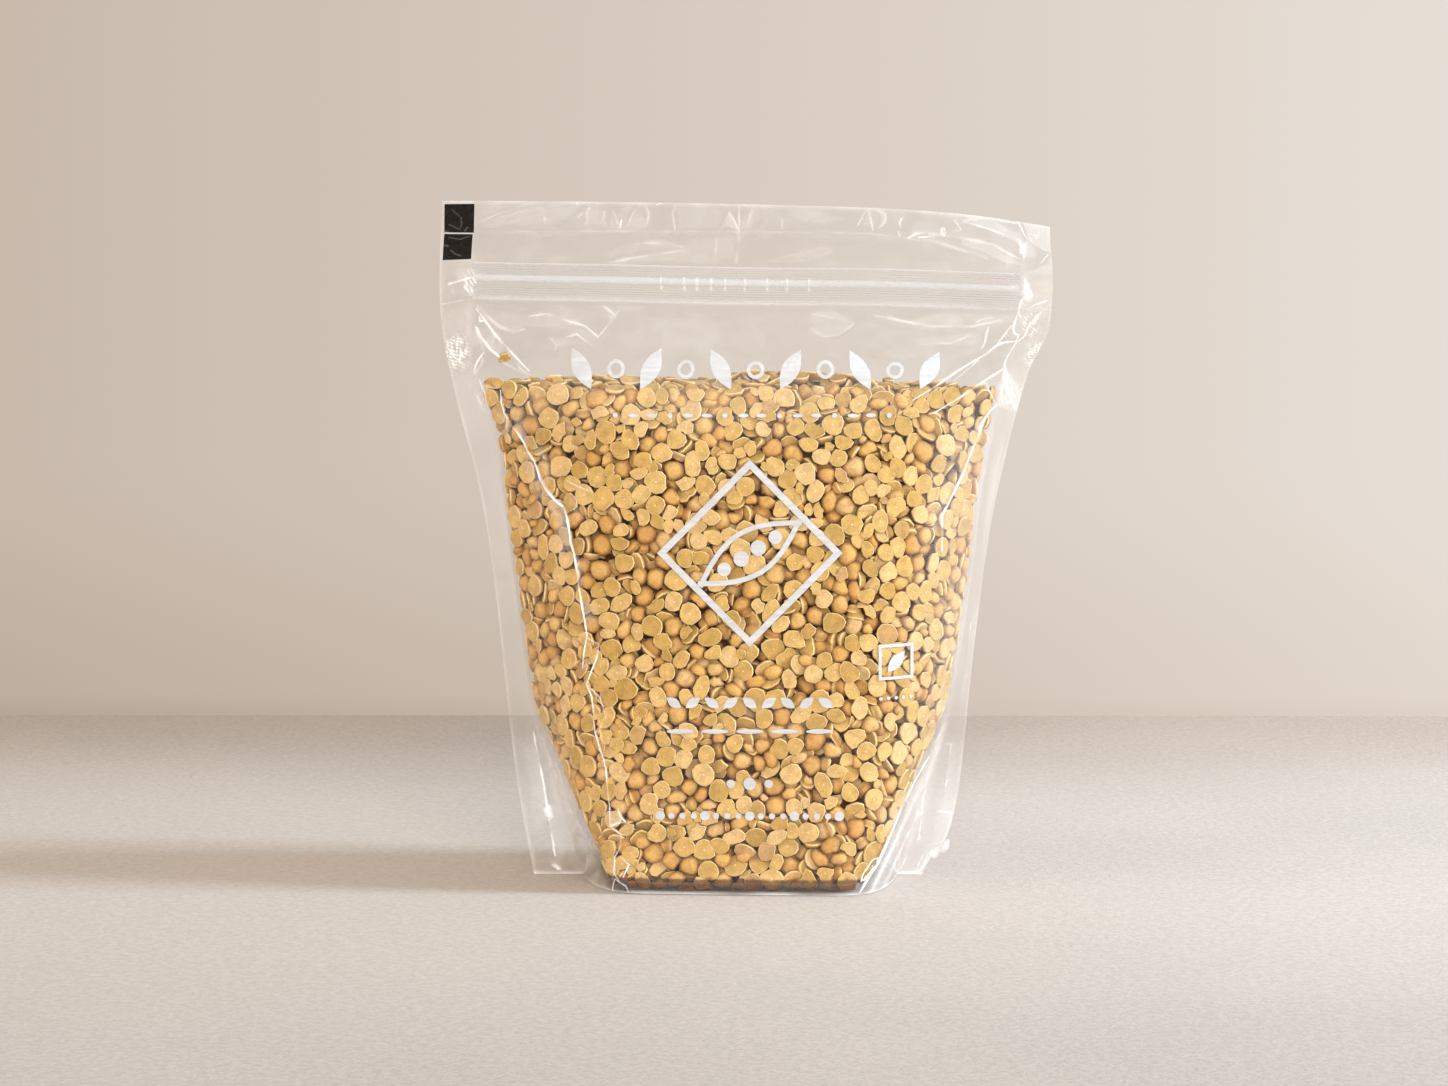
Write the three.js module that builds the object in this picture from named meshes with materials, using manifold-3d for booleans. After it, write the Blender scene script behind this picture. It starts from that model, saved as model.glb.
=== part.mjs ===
// A clear stand-up pouch, full of yellow split peas and sealed all round, standing on its gusset.
// Millimetres, +Z up, the front panel faces -Y, and the origin is on the ground under the middle.
//
// The film is a tenth of a millimetre thick. So the pouch is a solid that is as thick as its air
// space and its seals, with a window through it that the bed of peas fills out to the panels.
import * as THREE from 'three';
import { mergeVertices } from 'three/addons/utils/BufferGeometryUtils.js';
import Module from 'manifold-3d';

// Pouch: 160 mm wide when flat, with 8 mm heat seals at both sides and along the top.
const POUCH_HEIGHT = 177.2;
const SEAL_HALF_THICKNESS = 0.3;

// Outlines of the standing pouch, each a list of [height, distance from the middle].
const OUTER_LEFT = [[0, 56.5], [26, 61], [80, 66.8], [104, 70.6], [128, 76.6], [148, 80.4], [177.2, 79.8]];
const OUTER_RIGHT = [[0, 53.6], [26, 57], [64, 60.8], [98, 65.5], [134, 74.2], [148, 79.8], [177.2, 80.4]];
const INNER_LEFT = [[0, 43.5], [26, 51], [46, 56.8], [76, 61.2], [102, 64.4], [126, 68.6], [148, 72.6], [177.2, 72.4]];
const INNER_RIGHT = [[0, 40.5], [26, 48.5], [46, 54.2], [78, 59.4], [102, 62.2], [124, 66.4], [148, 72.4], [177.2, 72.4]];

// Half the depth of the filled pouch, and how square its plan is: 2 is an arch, 9 nearly a box.
const HALF_DEPTH = [[0, 30], [46, 28.5], [76, 26], [102, 22.5], [118, 18.5], [132, 12.5], [146, 4.2], [158, 1.6], [177.2, 0.7]];
const SQUARENESS = [[0, 9], [46, 5], [76, 4], [118, 3.2], [146, 2.2], [177.2, 2]];
const FOOT_SKEW = 0.08;

// Slanted seals at the two lower corners: they start this far out at the hem and end at this height.
const CORNER_SEAL = { height: 46, left: 35, right: 31 };
const HEM_HEIGHT = 3.6;
const BASE_FILM = 0.8;

// Bed of peas.
const FILL_HEIGHT = 129;
const HEAP_RISE = 3.2;
const HEAP_RIPPLE = 1.1;
const SEAL_CLEARANCE = 0.6;
const FILM = 0.1;
const GAP = 0.3;

// Press-to-close zip, which hangs 1.2 degrees down to the right with the whole header.
const ZIP = { bottom: 151.6, height: 10, halfWidth: 72, rib: 5.5 };
const HEADER_SLOPE = 0.0215;
const HEADER_LEVEL = { from: 128, to: 150 };
const HEADER_LEAN_DEG = 40;
const HEADER_LEAN_FROM = 12;

const FILM_LOOK = { color: '#e0d8cc', roughness: 0.12, metalness: 0, transparent: true, opacity: 0.4 };
const ZIP_LOOK = { color: '#ece9e4', roughness: 0.3, metalness: 0 };
const PEA_LOOK = { color: '#d9a441', roughness: 0.75, metalness: 0 };

const wasm = await Module();
wasm.setup();

// Smooth curve through an outline's points, read at one height.
function along(outline, height) {
  const last = outline.length - 1;
  let i = 0;
  while (i < last - 1 && height > outline[i + 1][0]) i += 1;
  const slope = (k) => {
    const [z0, a] = outline[Math.max(k - 1, 0)];
    const [z1, b] = outline[Math.min(k + 1, last)];
    return (b - a) / (z1 - z0);
  };
  const [low, from] = outline[i];
  const [high, to] = outline[i + 1];
  const span = high - low;
  const t = THREE.MathUtils.clamp((height - low) / span, 0, 1);
  const start = from + span * slope(i) * t * (1 - t) ** 2;
  return start + (to - from) * t * t * (3 - 2 * t) - span * slope(i + 1) * t * t * (1 - t);
}

// Half the depth of the space between the panels at x, between inner seal edges at -left and right.
function halfDepth(x, height) {
  const left = along(INNER_LEFT, height);
  const right = along(INNER_RIGHT, height);
  const across = THREE.MathUtils.clamp((2 * x + left - right) / (left + right), -1, 1);
  const skew = 1 + FOOT_SKEW * across * (1 - THREE.MathUtils.smoothstep(height, 0, CORNER_SEAL.height));
  return along(HALF_DEPTH, height) * skew * (1 - Math.abs(across) ** along(SQUARENESS, height));
}

// The header slopes down to the right, and its right end also leans back.
function settle(x, y, z) {
  const level = THREE.MathUtils.smoothstep(z, HEADER_LEVEL.from, HEADER_LEVEL.to);
  const hinge = ZIP.bottom + ZIP.height;
  const above = Math.max(z - hinge, 0);
  const outwards = THREE.MathUtils.clamp((x - HEADER_LEAN_FROM) / (along(OUTER_RIGHT, z) - HEADER_LEAN_FROM), 0, 1);
  const lean = THREE.MathUtils.degToRad(HEADER_LEAN_DEG) * outwards ** 1.5;
  const height = Math.min(z, hinge) + above * Math.cos(lean);
  return [x, y + above * Math.sin(lean), height - HEADER_SLOPE * x * level];
}

// A closed grid block whose vertices are moved by place(across, through, up), with across and
// through from -1 to 1 and up from 0 to 1.
function loft(columns, layers, rows, place) {
  const geometry = new THREE.BoxGeometry(2, 2, 1, columns, layers, rows);
  geometry.translate(0, 0, 0.5);
  geometry.deleteAttribute('normal');
  geometry.deleteAttribute('uv');
  const merged = mergeVertices(geometry);
  const position = merged.attributes.position;
  for (let i = 0; i < position.count; i += 1) {
    position.setXYZ(i, ...place(position.getX(i), position.getY(i), position.getZ(i)));
  }
  return merged;
}

function solid(geometry) {
  return new wasm.Manifold(new wasm.Mesh({
    numProp: 3,
    vertProperties: Float32Array.from(geometry.attributes.position.array),
    triVerts: Uint32Array.from(geometry.index.array),
  }));
}

function toGeometry(manifold) {
  const mesh = manifold.getMesh();
  const geometry = new THREE.BufferGeometry();
  geometry.setAttribute('position', new THREE.BufferAttribute(mesh.vertProperties, 3));
  geometry.setIndex(new THREE.BufferAttribute(mesh.triVerts, 1));
  return geometry;
}

function piece(name, geometry, look) {
  const mesh = new THREE.Mesh(geometry, new THREE.MeshStandardMaterial(look));
  mesh.name = name;
  return mesh;
}

// The whole closed pouch: its outermost columns on each side are the flat side seals.
function envelope() {
  const columns = 30;
  const rows = 32;
  const sealFrom = 1 - 2 / columns;
  return loft(columns, 1, rows, (across, through, up) => {
    const height = up * POUCH_HEIGHT;
    const left = along(INNER_LEFT, height);
    const right = along(INNER_RIGHT, height);
    const inside = Math.sin((Math.PI / 2) * THREE.MathUtils.clamp(across / sealFrom, -1, 1));
    let x = THREE.MathUtils.lerp(-left, right, (inside + 1) / 2);
    if (across < -sealFrom - 0.01) x = -along(OUTER_LEFT, height);
    if (across > sealFrom + 0.01) x = along(OUTER_RIGHT, height);
    return settle(x, through * (SEAL_HALF_THICKNESS + halfDepth(x, height)), height);
  });
}

// How far from the middle the peas reach on one side: to the slanted corner seal, or above it to
// the side seal.
function peaEdge(innerEdge, hemStart, height) {
  const { height: top } = CORNER_SEAL;
  const edge = height > top ? along(innerEdge, height) : THREE.MathUtils.mapLinear(height, 0, top, hemStart, along(innerEdge, top));
  return edge - SEAL_CLEARANCE;
}

// The space that the peas fill, out to the slanted corner seals, less an even margin. The window
// cut through the pouch has no margin, and runs out past both panels.
function peaSpace(margin, past) {
  return loft(26, 6, 24, (across, through, up) => {
    const rim = Math.max(Math.abs(across), Math.abs(through));
    const floor = BASE_FILM + (HEM_HEIGHT - BASE_FILM) * rim ** 4 + margin;
    const ripple = HEAP_RIPPLE * (Math.sin(7 * across) + 0.7 * Math.sin(17 * across + 1));
    const heap = (HEAP_RISE + HEAP_RIPPLE * Math.sin(9 * across + 3 * through)) * (1 - through ** 2) * (1 - across ** 2);
    const top = FILL_HEIGHT + ripple + heap - margin;
    const height = THREE.MathUtils.lerp(floor, top, up);
    const left = margin - peaEdge(INNER_LEFT, CORNER_SEAL.left, height);
    const right = peaEdge(INNER_RIGHT, CORNER_SEAL.right, height) - margin;
    const x = THREE.MathUtils.lerp(left, right, (Math.sin((Math.PI / 2) * across) + 1) / 2);
    const outermost = Math.abs(through) > 0.99 ? past * through : 0;
    return settle(x, through * (SEAL_HALF_THICKNESS - FILM + halfDepth(x, height)) + outermost, height);
  });
}

// The opening in the header that the two zip strips lie in.
function zipSlot() {
  return loft(1, 1, 1, (across, through, up) => {
    const z = ZIP.bottom - GAP + up * (ZIP.height + 2 * GAP);
    return settle(across * (ZIP.halfWidth + GAP), through * 8, z);
  });
}

// One zip strip: a flange with fine ribs and a raised bead outside, and the rib or groove inside.
function zipStrip(side, inside) {
  const inner = GAP / 2;
  const valley = 0.85;
  const crest = 1.1;
  const bead = { halfHeight: 1.6, crest: 1.7 };
  const ribPitch = 1.4;
  const outside = [];
  for (let z = ZIP.height - ribPitch; z > ribPitch / 2; z -= ribPitch) {
    if (Math.abs(z - ZIP.rib) > bead.halfHeight + ribPitch / 2) {
      outside.push([z + ribPitch / 4, valley], [z, crest], [z - ribPitch / 4, valley]);
    }
  }
  outside.push(
    [ZIP.rib + bead.halfHeight, valley],
    [ZIP.rib + bead.halfHeight / 2, bead.crest],
    [ZIP.rib - bead.halfHeight / 2, bead.crest],
    [ZIP.rib - bead.halfHeight, valley],
  );
  outside.sort((a, b) => b[0] - a[0]);
  const profile = [[0, inner], ...inside, [ZIP.height, inner], [ZIP.height, valley], ...outside, [0, valley]];
  const outline = new THREE.Shape(profile.map(([z, y]) => new THREE.Vector2(side * y, z)));
  const strip = new THREE.ExtrudeGeometry(outline, { depth: 2 * ZIP.halfWidth, bevelEnabled: false });
  strip.rotateX(Math.PI / 2);
  strip.rotateZ(Math.PI / 2);
  strip.translate(-ZIP.halfWidth, 0, 0);
  return strip;
}

const pouch = solid(envelope()).subtract(solid(peaSpace(0, 6))).subtract(solid(zipSlot()));

const bag = new THREE.Group();
bag.add(piece('pouch', toGeometry(pouch), FILM_LOOK));
bag.add(piece('split_peas', peaSpace(GAP, 0), PEA_LOOK));

// The rib of the front strip snaps into the groove of the back strip.
const rib = { halfHeight: 0.5, reach: 0.6 };
const snapRib = [
  [ZIP.rib - rib.halfHeight, GAP / 2],
  [ZIP.rib - rib.halfHeight, -rib.reach],
  [ZIP.rib + rib.halfHeight, -rib.reach],
  [ZIP.rib + rib.halfHeight, GAP / 2],
];
const groove = [
  [ZIP.rib - rib.halfHeight - GAP, GAP / 2],
  [ZIP.rib - rib.halfHeight - GAP, rib.reach + GAP],
  [ZIP.rib + rib.halfHeight + GAP, rib.reach + GAP],
  [ZIP.rib + rib.halfHeight + GAP, GAP / 2],
];
const zip = new THREE.Group();
zip.position.z = ZIP.bottom;
zip.rotation.y = Math.atan(HEADER_SLOPE);
zip.add(piece('zip_strip_front', zipStrip(-1, snapRib), ZIP_LOOK));
zip.add(piece('zip_strip_back', zipStrip(1, groove), ZIP_LOOK));
bag.add(zip);

export default bag;
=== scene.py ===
import math

import bmesh
import bpy
import numpy as np
from mathutils import Matrix, Vector, kdtree


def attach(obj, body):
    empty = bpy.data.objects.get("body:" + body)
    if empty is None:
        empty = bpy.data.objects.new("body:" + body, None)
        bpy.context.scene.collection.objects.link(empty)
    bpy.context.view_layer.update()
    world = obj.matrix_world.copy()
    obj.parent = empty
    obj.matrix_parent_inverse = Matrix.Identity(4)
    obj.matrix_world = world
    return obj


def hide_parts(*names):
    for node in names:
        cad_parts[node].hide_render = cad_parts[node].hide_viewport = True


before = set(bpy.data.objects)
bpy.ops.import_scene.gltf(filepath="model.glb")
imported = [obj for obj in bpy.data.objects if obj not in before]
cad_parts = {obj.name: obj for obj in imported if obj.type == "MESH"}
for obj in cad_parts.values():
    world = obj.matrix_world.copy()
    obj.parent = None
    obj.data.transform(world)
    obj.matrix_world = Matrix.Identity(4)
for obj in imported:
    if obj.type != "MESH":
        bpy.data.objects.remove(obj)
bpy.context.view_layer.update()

# ------------------------------------------------------------------------------- front panel
# The front of the pouch is one web of clear film a tenth of a millimetre thick, heat sealed to
# the back panel along both sides and the top. The peas push it out, and the creases in it were
# pressed in when the full pouch was packed. All lengths are millimetres until a mesh is written.
MM = 0.001
POUCH_HEIGHT = 177.2
POUCH_WIDTH = 160.0
SIDE_SEAL = 8.0
TOP_SEAL_FROM = 169.6
OUTER_LEFT = [[0, 56.5], [26, 61], [80, 66.8], [104, 70.6], [128, 76.6], [148, 80.4], [177.2, 79.8]]
OUTER_RIGHT = [[0, 46.8], [5, 49.6], [10, 53.4], [16.5, 55.3], [26, 57], [64, 60.8], [98, 65.5],
               [134, 74.2], [148, 79.8], [177.2, 80.4]]
INNER_LEFT = [[0, 43.5], [26, 51], [46, 56.8], [76, 61.2], [102, 64.6], [119, 67.0], [128, 70.4],
              [134, 72.3], [148, 72.6], [177.2, 72.4]]
INNER_RIGHT = [[0, 40.5], [26, 48.5], [46, 54.2], [78, 59.4], [102, 62.2], [124, 66.4], [148, 72.4],
               [177.2, 72.4]]
HALF_DEPTH = [[0, 30], [46, 28.5], [76, 26], [102, 22.5], [118, 18.5], [132, 12.5], [146, 4.2],
              [158, 1.6], [177.2, 0.7]]
SQUARENESS = [[0, 9], [46, 5], [76, 4], [118, 3.6], [131, 4.4], [146, 2.3], [177.2, 2]]
FOOT_SKEW = 0.08
CORNER_TOP = 46.0
CORNER_START = {-1: 35.0, 1: 31.0}
SEAL_CLEARANCE = 0.6
HEADER_HINGE = 161.6
HEADER_SLOPE = 0.0215
HEADER_LEAN = math.radians(40)


def smoothstep(value, low, high):
    """0 below low, 1 above high, and a smooth rise between; high may be the lower of the two."""
    share = np.clip((value - low) / (high - low), 0, 1)
    return share * share * (3 - 2 * share)


def along(outline, height):
    """Smooth curve through an outline's points, read at the heights."""
    at, out = np.array(outline, float).T
    last = len(at) - 1
    ahead = np.minimum(np.arange(last + 1) + 1, last)
    behind = np.maximum(np.arange(last + 1) - 1, 0)
    slope = (out[ahead] - out[behind]) / (at[ahead] - at[behind])
    i = np.clip(np.searchsorted(at, height, side="right") - 1, 0, last - 1)
    span = at[i + 1] - at[i]
    t = np.clip((height - at[i]) / span, 0, 1)
    start = out[i] + span * slope[i] * t * (1 - t) ** 2
    return start + (out[i + 1] - out[i]) * t * t * (3 - 2 * t) - span * slope[i + 1] * t * t * (1 - t)


def film_depth(x, height, stop=1.0):
    """How far a panel stands out from the pouch's middle plane at x and height."""
    left = along(INNER_LEFT, height)
    right = along(INNER_RIGHT, height)
    across = np.clip((2 * x + left - right) / (left + right), -stop, stop)
    skew = 1 + FOOT_SKEW * across * (1 - smoothstep(height, 0, CORNER_TOP))
    return along(HALF_DEPTH, height) * skew * (1 - np.abs(across) ** along(SQUARENESS, height))


def corner_seam(side, height):
    """How far out the peas reach at a height: to the slanted corner seal, then the side seal."""
    inner = along(INNER_LEFT if side < 0 else INNER_RIGHT, height)
    top = along(INNER_LEFT if side < 0 else INNER_RIGHT, CORNER_TOP)
    slant = CORNER_START[side] + (top - CORNER_START[side]) * height / CORNER_TOP
    return np.where(height > CORNER_TOP, inner, slant) - SEAL_CLEARANCE


def settle(points):
    """The header slopes down to the right, and its right end also leans back."""
    x, y, z = points.T
    level = smoothstep(z, 128, 150)
    above = np.maximum(z - HEADER_HINGE, 0)
    outwards = np.clip((x - 12) / (along(OUTER_RIGHT, z) - 12), 0, 1)
    lean = HEADER_LEAN * outwards ** 1.5
    bow = 0.8 * (1 - (x / 80) ** 2) * smoothstep(z, 160, 177)
    height = np.minimum(z, HEADER_HINGE) + above * np.cos(lean) - HEADER_SLOPE * x * level + bow
    return np.stack([x, y + above * np.sin(lean), height], axis=1)


def swells(x, height, length, stretch, seed, count=10):
    """Soft uneven swells of about that length, from -1 to 1, drawn out upwards by stretch."""
    chance = np.random.default_rng(seed)
    total = 0
    for _ in range(count):
        turn = chance.uniform(0, math.pi)
        pace = 2 * math.pi / length * chance.uniform(0.6, 1.6)
        run = x * math.cos(turn) + height * math.sin(turn) / stretch
        total = total + np.cos(pace * run + chance.uniform(0, 2 * math.pi))
    return np.clip(total / count ** 0.5, -2, 2) / 2


# Each crease: half its width, how far it stands up, how white it is (stress whitening, partly a painted
# highlight), and its line as x and height.
FRONT_CREASES = [
    (0.85, 0.75, 1.0, [(-64.4, 129.4), (-64.2, 126.0), (-63.4, 123.4), (-61.7, 120.6), (-59.6, 118.3),
                       (-58.2, 116.3), (-56.9, 113.5), (-55.5, 111.7), (-54.7, 109.9), (-53.6, 106.6),
                       (-52.0, 104.1), (-49.6, 101.4), (-47.2, 99.4), (-46.6, 97.6), (-45.9, 93.8),
                       (-45.5, 90.7), (-44.5, 87.4), (-43.7, 82.8), (-43.2, 78.4), (-42.4, 73.5),
                       (-42.1, 72.0), (-41.3, 66.6)]),
    (1.5, 0.6, 0.75, [(-54.0, 107.5), (-52.0, 104.1), (-49.6, 101.4), (-47.6, 99.9)]),
    (0.55, 0.4, 0.7, [(-41.3, 66.6), (-42.1, 61.9), (-42.4, 58.2), (-38.6, 61.3)]),
    (0.6, 0.5, 0.85, [(-41.3, 66.1), (-38.1, 64.7), (-38.6, 61.1), (-41.3, 54.1), (-40.0, 51.1),
                      (-39.2, 45.0), (-39.2, 42.6), (-37.9, 38.0), (-36.8, 34.7), (-36.3, 32.3),
                      (-35.8, 26.6), (-35.3, 22.7), (-35.3, 17.1)]),
    (0.5, 0.35, 0.45, [(-41.3, 54.1), (-37.9, 51.0), (-36.3, 46.4), (-37.9, 43.0), (-37.1, 38.6)]),
    (0.9, 0.4, 0.8, [(-35.3, 17.3), (-33.0, 18.4), (-31.1, 18.7)]),
    (0.6, 0.35, 0.7, [(-33.2, 22.3), (-32.6, 20.2), (-31.1, 18.7)]),
    (0.6, 0.4, 0.85, [(-35.0, 17.1), (-32.2, 15.2), (-32.7, 11.7), (-34.0, 9.2), (-34.2, 4.9),
                      (-33.0, 2.9)]),
    (0.55, 0.35, 0.8, [(-32.4, 9.4), (-30.3, 7.4), (-31.9, 4.0)]),
    (0.5, 0.3, 0.8, [(-34.1, 3.4), (-34.7, 0.3), (-30.4, 0.3), (-31.2, 1.8), (-34.1, 3.4)]),
    (0.7, 0.5, 0.95, [(-71.0, 149.3), (-68.9, 146.6), (-66.3, 143.2), (-62.0, 139.0), (-56.7, 134.3)]),
    (0.6, 0.4, 0.8, [(-70.2, 147.3), (-70.0, 146.0), (-68.7, 146.1)]),
    (0.5, 0.3, 0.6, [(-66.0, 143.2), (-66.8, 140.3)]),
    (0.6, 0.4, 0.8, [(-71.2, 144.8), (-69.0, 138.6)]),
    (0.8, 0.5, 0.9, [(-70.8, 144.5), (-69.5, 141.9), (-67.3, 139.3), (-64.7, 137.5)]),
    (0.55, 0.4, 0.8, [(-69.0, 138.6), (-70.9, 135.9), (-71.7, 133.5)]),
    (0.5, 0.3, 0.6, [(-69.2, 137.4), (-69.5, 135.7), (-71.5, 133.2)]),
    (0.5, 0.25, 0.3, [(-64.7, 136.8), (-60.4, 134.7), (-56.6, 132.6)]),
    (0.5, 0.25, 0.4, [(-80.0, 150.1), (-77.3, 150.7), (-74.4, 151.3)]),
    (0.5, 0.3, 0.5, [(-79.0, 139.9), (-76.6, 137.0), (-73.8, 135.4), (-71.7, 133.5)]),
    (0.7, 0.5, 0.9, [(72.3, 154.5), (71.5, 151.1), (72.3, 149.8)]),
    (0.6, 0.4, 0.85, [(71.2, 150.5), (70.2, 147.3), (70.5, 145.6), (71.5, 145.1), (71.3, 143.7)]),
    (0.5, 0.35, 0.6, [(77.8, 151.7), (74.4, 148.2), (73.4, 145.1), (71.8, 143.4)]),
    (0.65, 0.5, 0.8, [(71.3, 143.4), (67.0, 142.8), (62.5, 139.3), (56.1, 135.4), (49.4, 130.8),
                      (43.3, 127.3)]),
    (0.55, 0.4, 0.8, [(71.3, 143.4), (68.9, 139.3), (67.9, 136.7), (68.1, 135.8), (67.7, 130.4)]),
    (0.7, 0.5, 0.9, [(67.6, 135.2), (62.2, 131.9), (56.6, 128.3), (48.9, 123.9)]),
    (0.5, 0.3, 0.6, [(62.2, 131.9), (65.6, 125.4)]),
    (0.9, 0.5, 0.9, [(67.6, 132.6), (69.0, 128.5), (70.9, 124.0)]),
    (0.5, 0.3, 0.6, [(64.2, 124.1), (68.2, 124.5), (72.2, 125.3)]),
    (1.3, 0.8, 0.75, [(66.1, 125.3), (63.9, 123.8), (61.8, 121.0), (60.7, 117.4), (59.1, 113.8),
                      (57.8, 110.4), (56.4, 107.1), (54.8, 104.1), (53.2, 101.0), (50.9, 97.0),
                      (51.2, 87.8)]),
    (1.5, 0.35, 0.65, [(51.5, 38.4), (48.1, 32.7), (44.4, 27.6), (41.1, 22.0), (37.6, 14.5),
                      (34.9, 9.0), (31.2, 3.2), (29.4, 0.2)]),
    (0.5, 0.3, 0.8, [(34.4, 9.1), (32.8, 8.8), (30.4, 5.4), (29.9, 3.6), (31.2, 4.0), (33.3, 6.0),
                     (34.4, 9.1)]),
    (0.75, 0.5, 0.85, [(-56.4, 38.2), (-55.8, 34.7), (-54.7, 29.4), (-53.7, 24.0), (-52.7, 17.2),
                       (-51.6, 10.5), (-50.3, 1.3)]),
    (0.9, 0.5, 0.3, [(-53.2, 36.5), (-50.3, 27.2), (-45.8, 19.7), (-40.8, 11.1), (-34.8, 5.1)]),
    (0.9, 0.4, 0.25, [(-52.6, 30.7), (-48.5, 20.5), (-42.3, 9.6), (-38.1, 6.1)]),
    (0.45, 0.25, 0.3, [(-59.4, 19.1), (-56.6, 19.4), (-54.5, 19.1)]),
    (0.7, 0.3, 0.6, [(71.9, 177.0), (72.6, 175.5), (73.4, 173.4), (75.1, 171.1), (79.3, 169.0)]),
    (0.5, 0.3, 0.5, [(73.5, 177.0), (74.7, 172.6), (75.7, 171.2)]),
    (0.9, 0.5, 1.0, [(71.9, 170.8), (73.2, 168.7), (73.1, 166.2)]),
    (0.5, 0.3, 0.7, [(79.6, 168.0), (77.6, 164.9)]),
    (0.5, 0.25, 0.25, [(-70.4, 171.6), (-64.6, 174.1), (-58.0, 176.3), (-53.0, 177.0)]),
    (0.5, 0.25, 0.2, [(-70.4, 171.6), (-63.3, 173.3), (-56.7, 175.3)]),
    (0.5, 0.2, 0.2, [(-63.8, 171.5), (-59.3, 172.6), (-54.1, 174.1)]),
    (0.6, 0.15, 0.16, [(-69.9, 169.1), (-38.3, 169.8), (3.6, 170.4), (32.5, 170.6), (46.8, 169.4),
                     (57.6, 167.4), (73.1, 163.8)]),
    (0.5, 0.3, 0.5, [(54.8, 53.5), (58.4, 53.3)]),
    (0.5, 0.3, 0.4, [(52.6, 35.1), (58.5, 35.1)]),
    (0.45, 0.25, 0.35, [(-46.9, 106.7), (-43.2, 105.0), (-40.0, 103.9)]),
    (0.8, 0.5, 0.45, [(29.3, 172.5), (31.0, 175.9), (31.8, 177.0), (32.9, 173.2), (33.3, 171.5)]),
    (0.8, 0.4, 0.30, [(33.8, 177.0), (36.5, 175.5), (36.5, 173.8), (34.9, 172.1)]),
    (0.7, 0.4, 0.65, [(41.0, 174.9), (40.2, 173.7), (40.7, 172.6)]),
    (0.6, 0.4, 0.55, [(39.9, 171.5), (40.3, 170.2)]),
    (0.9, 0.5, 0.55, [(42.6, 169.9), (44.3, 170.9), (47.1, 171.5), (49.3, 170.6), (45.4, 170.2)]),
    (0.6, 0.4, 0.55, [(51.6, 173.1), (52.2, 172.9), (52.0, 170.9), (51.3, 171.4), (51.6, 173.1)]),
    (0.7, 0.4, 0.35, [(54.7, 175.4), (56.6, 172.9), (54.3, 171.9)]),
    (1.2, 0.4, 0.22, [(48.2, 169.8), (55.9, 167.6), (63.7, 165.3)]),
    (1.4, 0.5, 0.30, [(48.2, 171.3), (57.1, 170.6), (64.9, 169.5), (72.0, 165.7)]),
    (1.0, 0.5, 0.40, [(57.2, 175.3), (63.9, 173.8), (70.0, 172.0), (72.8, 171.0)]),
    (0.8, 0.3, 0.30, [(57.2, 175.6), (65.1, 176.6), (72.4, 176.6)]),
    (0.7, 0.4, 0.35, [(9.4, 173.7), (9.4, 171.2)]),
    (0.7, 0.4, 0.25, [(0.1, 171.3), (0.9, 174.1), (1.7, 176.3), (2.8, 177.0)]),
    (1.0, 0.5, 0.25, [(33.8, 149.7), (41.5, 148.3), (48.1, 147.0), (59.2, 147.2), (67.0, 149.2)]),
    (0.9, 0.4, 0.14, [(17.2, 149.7), (20.5, 149.2), (28.2, 147.2), (24.3, 144.3), (20.5, 143.7),
                      (16.6, 145.9)]),
    (0.6, 0.4, 0.45, [(60.3, 148.4), (62.6, 149.4), (64.8, 149.8)]),
    (0.7, 0.4, 0.35, [(63.7, 147.3), (62.6, 142.5), (61.4, 140.7)]),
    (0.9, 0.4, 0.18, [(45.9, 142.4), (53.6, 142.5), (59.2, 144.9)]),
    (0.6, 0.4, 0.65, [(56.4, 135.4), (67.6, 142.6)]),
    (0.7, 0.5, 0.90, [(-32.7, 172.8), (-33.0, 170.9)]),
    (0.7, 0.4, 0.60, [(-4.5, 175.1), (-3.1, 172.9), (-2.0, 170.7)]),
    (0.7, 0.4, 0.35, [(-4.2, 175.1), (-5.6, 172.6), (-7.0, 170.6)]),
    (0.8, 0.4, 0.25, [(-1.9, 177.0), (-1.9, 170.7), (-2.6, 162.7)]),
    (0.9, 0.4, 0.22, [(-44.3, 173.1), (-42.6, 174.5), (-40.4, 175.9), (-38.7, 177.0)]),
    (0.8, 0.4, 0.22, [(-42.1, 171.5), (-41.8, 174.3), (-41.0, 175.9)]),
    (0.9, 0.4, 0.25, [(-37.1, 174.9), (-37.6, 172.7), (-36.8, 171.1)]),
    (0.9, 0.4, 0.22, [(-34.9, 175.0), (-33.8, 172.2), (-33.0, 170.6)]),
    (0.9, 0.5, 0.28, [(-31.0, 171.2), (-29.9, 174.0), (-28.3, 176.5), (-26.3, 176.2), (-25.5, 174.1),
                      (-26.1, 171.6)]),
    (0.8, 0.4, 0.25, [(-18.3, 177.0), (-19.4, 174.8), (-18.6, 170.4)]),
    (0.9, 0.4, 0.35, [(-26.6, 167.2), (-21.6, 166.9), (-16.7, 166.3)]),
    (1.0, 0.4, 0.28, [(-36.0, 162.0), (-27.7, 163.6), (-20.0, 164.8), (-15.0, 165.8)]),
    (0.7, 0.4, 0.25, [(-7.8, 168.4), (-8.4, 162.6)]),
    (1.1, 0.5, 0.30, [(-70.9, 150.2), (-68.2, 147.3), (-64.8, 144.7), (-60.9, 143.3), (-58.1, 144.4)]),
    (1.0, 0.5, 0.40, [(-57.0, 147.5), (-52.1, 148.2), (-47.6, 146.7), (-42.1, 145.2), (-38.7, 142.7)]),
    (0.9, 0.5, 0.22, [(-34.9, 148.6), (-36.0, 145.9), (-38.7, 142.7)]),
    (0.9, 0.5, 0.28, [(-37.7, 150.8), (-34.9, 148.6), (-34.3, 148.1), (-33.2, 149.7), (-29.9, 150.8)]),
    (0.8, 0.4, 0.20, [(-51.5, 142.5), (-49.8, 140.5), (-50.3, 139.2)]),
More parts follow.
